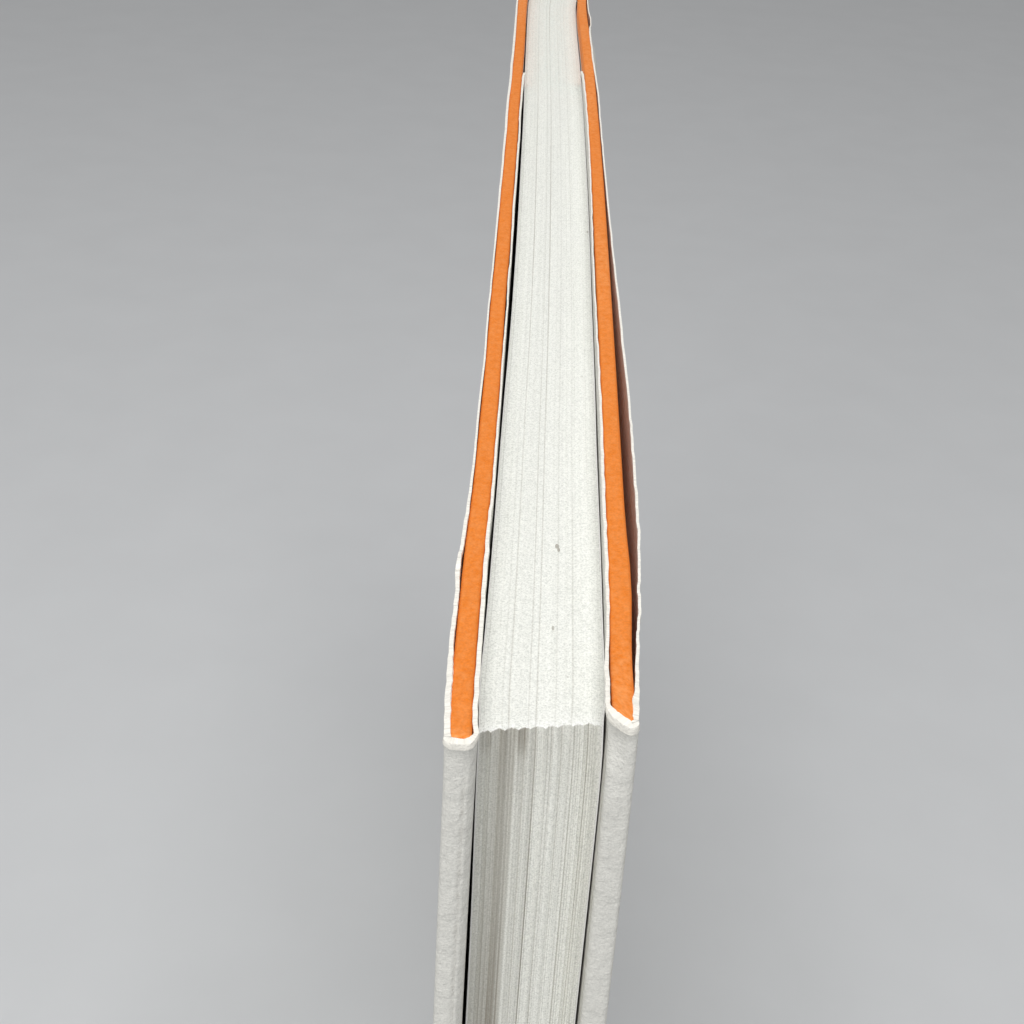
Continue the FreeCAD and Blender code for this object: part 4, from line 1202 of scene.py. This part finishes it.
def woven_tape(half, body_end, direction):
    """The tape below a bead, a thin box whose back is woven: points, thread heights and faces."""
    columns, rows = 120, 16
    width, overlap, thick = 8, 0.4, 0.26
    corners, faces, _ = skin_of_lattice([columns, 1, rows])
    a, b, c = corners.T
    weave = 0.03 * np.cos(a * math.pi / 2) * np.cos(c * math.pi)
    points = np.stack([
        -half + 2 * half * a / columns, 0.02 + (thick + weave) * b,
        body_end - direction * (width - (width + overlap) * c / rows)], -1)
    return points, 0.6 + 0.4 * np.cos(a * math.pi / 2), outward(points, faces)


def make_headbands(sizes, colours):
    """A rolled bead wound with thread, on a woven tape, at each end of the spine."""
    finish = thread_finish(colours.thread)
    lean = math.atan(SKEW)
    half = LEAF_HALF / math.cos(lean)
    spine = FOLD_TIP + 0.55 + FORE
    for name, body_end, direction in (("headband", HEAD, 1), ("tailband", TAIL, -1)):
        bead, bead_turns, quads, ends = wound_bead(half, sizes.bead / MM, body_end, direction)
        tape, tape_turns, tape_faces = woven_tape(half, body_end, direction)
        x, y, z = np.vstack([bead, tape]).T
        points = np.stack([x * math.cos(lean) - y * math.sin(lean),
                           x * math.sin(lean) + y * math.cos(lean) + spine, z], -1)
        looks = {"turn": np.append(bead_turns, tape_turns), "sheet": points * MM}
        faces = [quads, ends, tape_faces + len(bead)]
        band = add_piece(f"{name}_thread", points, faces, looks, finish, sharp=50)
        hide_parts(name)
        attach(band, "book_block")


def finish_spine_parts(sizes, colours):
    """Materials for the CAD parts that show inside the hollow of the spine."""
    finishes = {
        "spine_mull": mull_finish(RECORD_COLOURS["mull_cloth"]),
        "spine_lining": paper_finish("lining_kraft", RECORD_COLOURS["lining_paper"], None, mottle=0.1),
        "spine_inlay": board_finish(colours.greyboard),
    }
    for node, finish in finishes.items():
        mesh = frame["nodes"][node].data
        mesh.materials.clear()
        mesh.materials.append(finish)


# ----------------------------------------------------------------------- stage

# The camera's place, measured from the middle, the fore-edge and the head, its
# turn in degrees, and its lens in millimetres.
CAMERA_PLACE = (-4.5155, -113.315, 93.283)
CAMERA_TURN = (58.43373, -2.93762, 1.61083)
CAMERA_LENS = 54.07


def area_light(name, place, target, width, watts):
    """A square soft lamp that faces a target, places in metres."""
    data = bpy.data.lights.new(name, "AREA")
    data.size = width
    data.energy = watts
    lamp = bpy.data.objects.new(name, data)
    lamp.location = place
    aim = np.array(target) - np.array(place)
    flat = math.hypot(aim[0], aim[1])
    lamp.rotation_euler = (math.atan2(flat, -aim[2]), 0, math.atan2(aim[0], -aim[1]) + math.pi)
    bpy.context.scene.collection.objects.link(lamp)


def make_stage(sizes, colours):
    """Floor, soft lamps, even surroundings and the camera."""
    scene = bpy.context.scene
    bpy.ops.mesh.primitive_plane_add(size=14, location=(0, 0, 0))
    floor = bpy.context.object
    floor.name = "floor"
    material, tree, shader = new_finish("floor_paper", 0.9)
    base = mottled(tree, noise(tree, places(tree, None), 30.0, 3.0), colours.floor, 0.985, 1.01)
    tree.links.new(base, shader.inputs["Base Color"])
    floor.data.materials.append(material)

    centre = (0, -0.05, 0.2)
    area_light("lamp_above", (-0.02, -0.40, 1.3), centre, width=0.9, watts=9.9)
    area_light("lamp_front", (-0.42, -1.2, 0.60), centre, width=0.7, watts=4.3)
    world = bpy.data.worlds.new("surroundings")
    world.use_nodes = True
    background = next(node for node in world.node_tree.nodes if node.type == "BACKGROUND")
    background.inputs["Color"].default_value = (1.0, 1.0, 1.0, 1)
    background.inputs["Strength"].default_value = 0.4
    scene.world = world
    scene.view_settings.view_transform = "Standard"

    lens = bpy.data.cameras.new("camera")
    lens.lens = CAMERA_LENS
    lens.sensor_width = 36.0
    lens.clip_start = 0.01
    camera = bpy.data.objects.new("camera", lens)
    camera.location = (np.array(CAMERA_PLACE) + (0, FORE, HEAD)) * MM
    camera.rotation_euler = np.radians(CAMERA_TURN)
    scene.collection.objects.link(camera)
    scene.camera = camera


# --------------------------------------------------------------------- add-on

class BookMaker:
    """Shared by the book's operators: makes one group of pieces from the scene's settings."""
    bl_options = {"REGISTER", "UNDO"}

    def execute(self, context):
        """Make the pieces; an error stops the script."""
        self.make(context.scene.book_sizes, context.scene.book_colours)
        return {"FINISHED"}


class BOOK_OT_pages(BookMaker, bpy.types.Operator):
    """Make the sewn sections as one block of leaves"""
    bl_idname = "book.pages"
    bl_label = "Page Block"
    make = staticmethod(make_page_block)


class BOOK_OT_endpapers(BookMaker, bpy.types.Operator):
    """Make the flyleaves and the pastedowns"""
    bl_idname = "book.endpapers"
    bl_label = "Endpapers"
    make = staticmethod(make_endpapers)


class BOOK_OT_boards(BookMaker, bpy.types.Operator):
    """Make the greyboards of both covers"""
    bl_idname = "book.boards"
    bl_label = "Cover Boards"
    make = staticmethod(make_boards)


class BOOK_OT_covering(BookMaker, bpy.types.Operator):
    """Make the coloured covering of the case"""
    bl_idname = "book.covering"
    bl_label = "Case Covering"
    make = staticmethod(make_covering)


class BOOK_OT_jacket(BookMaker, bpy.types.Operator):
    """Make the dust jacket"""
    bl_idname = "book.jacket"
    bl_label = "Dust Jacket"
    make = staticmethod(make_jacket)


class BOOK_OT_headbands(BookMaker, bpy.types.Operator):
    """Make the headband and the tailband"""
    bl_idname = "book.headbands"
    bl_label = "Headbands"
    make = staticmethod(make_headbands)


class BOOK_OT_spine_parts(BookMaker, bpy.types.Operator):
    """Give the mull, the lining and the spine inlay their materials"""
    bl_idname = "book.spine_parts"
    bl_label = "Spine Parts"
    make = staticmethod(finish_spine_parts)


class BOOK_OT_stage(BookMaker, bpy.types.Operator):
    """Make the floor, the lamps and the camera"""
    bl_idname = "book.stage"
    bl_label = "Stage"
    make = staticmethod(make_stage)


OPERATORS = (
    BOOK_OT_stage, BOOK_OT_pages, BOOK_OT_endpapers, BOOK_OT_boards, BOOK_OT_covering,
    BOOK_OT_jacket, BOOK_OT_headbands, BOOK_OT_spine_parts)


class BOOK_PT_panel(bpy.types.Panel):
    """Lists the book's settings and its operators"""
    bl_idname = "BOOK_PT_panel"
    bl_label = "Hardcover Book"
    bl_space_type = "VIEW_3D"
    bl_region_type = "UI"
    bl_category = "Book"

    def draw(self, context):
        """Sizes, colours and a button for each operator."""
        for group in (context.scene.book_sizes, context.scene.book_colours):
            box = self.layout.box()
            for name in group.__annotations__:
                box.prop(group, name)
        for operator in OPERATORS:
            self.layout.operator(operator.bl_idname)


CLASSES = (BookSizes, BookColours) + OPERATORS + (BOOK_PT_panel,)


def register():
    """Add the classes and the scene's settings."""
    for cls in CLASSES:
        bpy.utils.register_class(cls)
    bpy.types.Scene.book_sizes = bpy.props.PointerProperty(type=BookSizes)
    bpy.types.Scene.book_colours = bpy.props.PointerProperty(type=BookColours)


def unregister():
    """Take the settings and the classes away again."""
    del bpy.types.Scene.book_colours
    del bpy.types.Scene.book_sizes
    for cls in reversed(CLASSES):
        bpy.utils.unregister_class(cls)


def main():
    """Register the add-on and make everything in order."""
    register()
    for operator in OPERATORS:
        getattr(bpy.ops.book, operator.bl_idname.split(".")[1])()


if __name__ == "__main__":
    main()
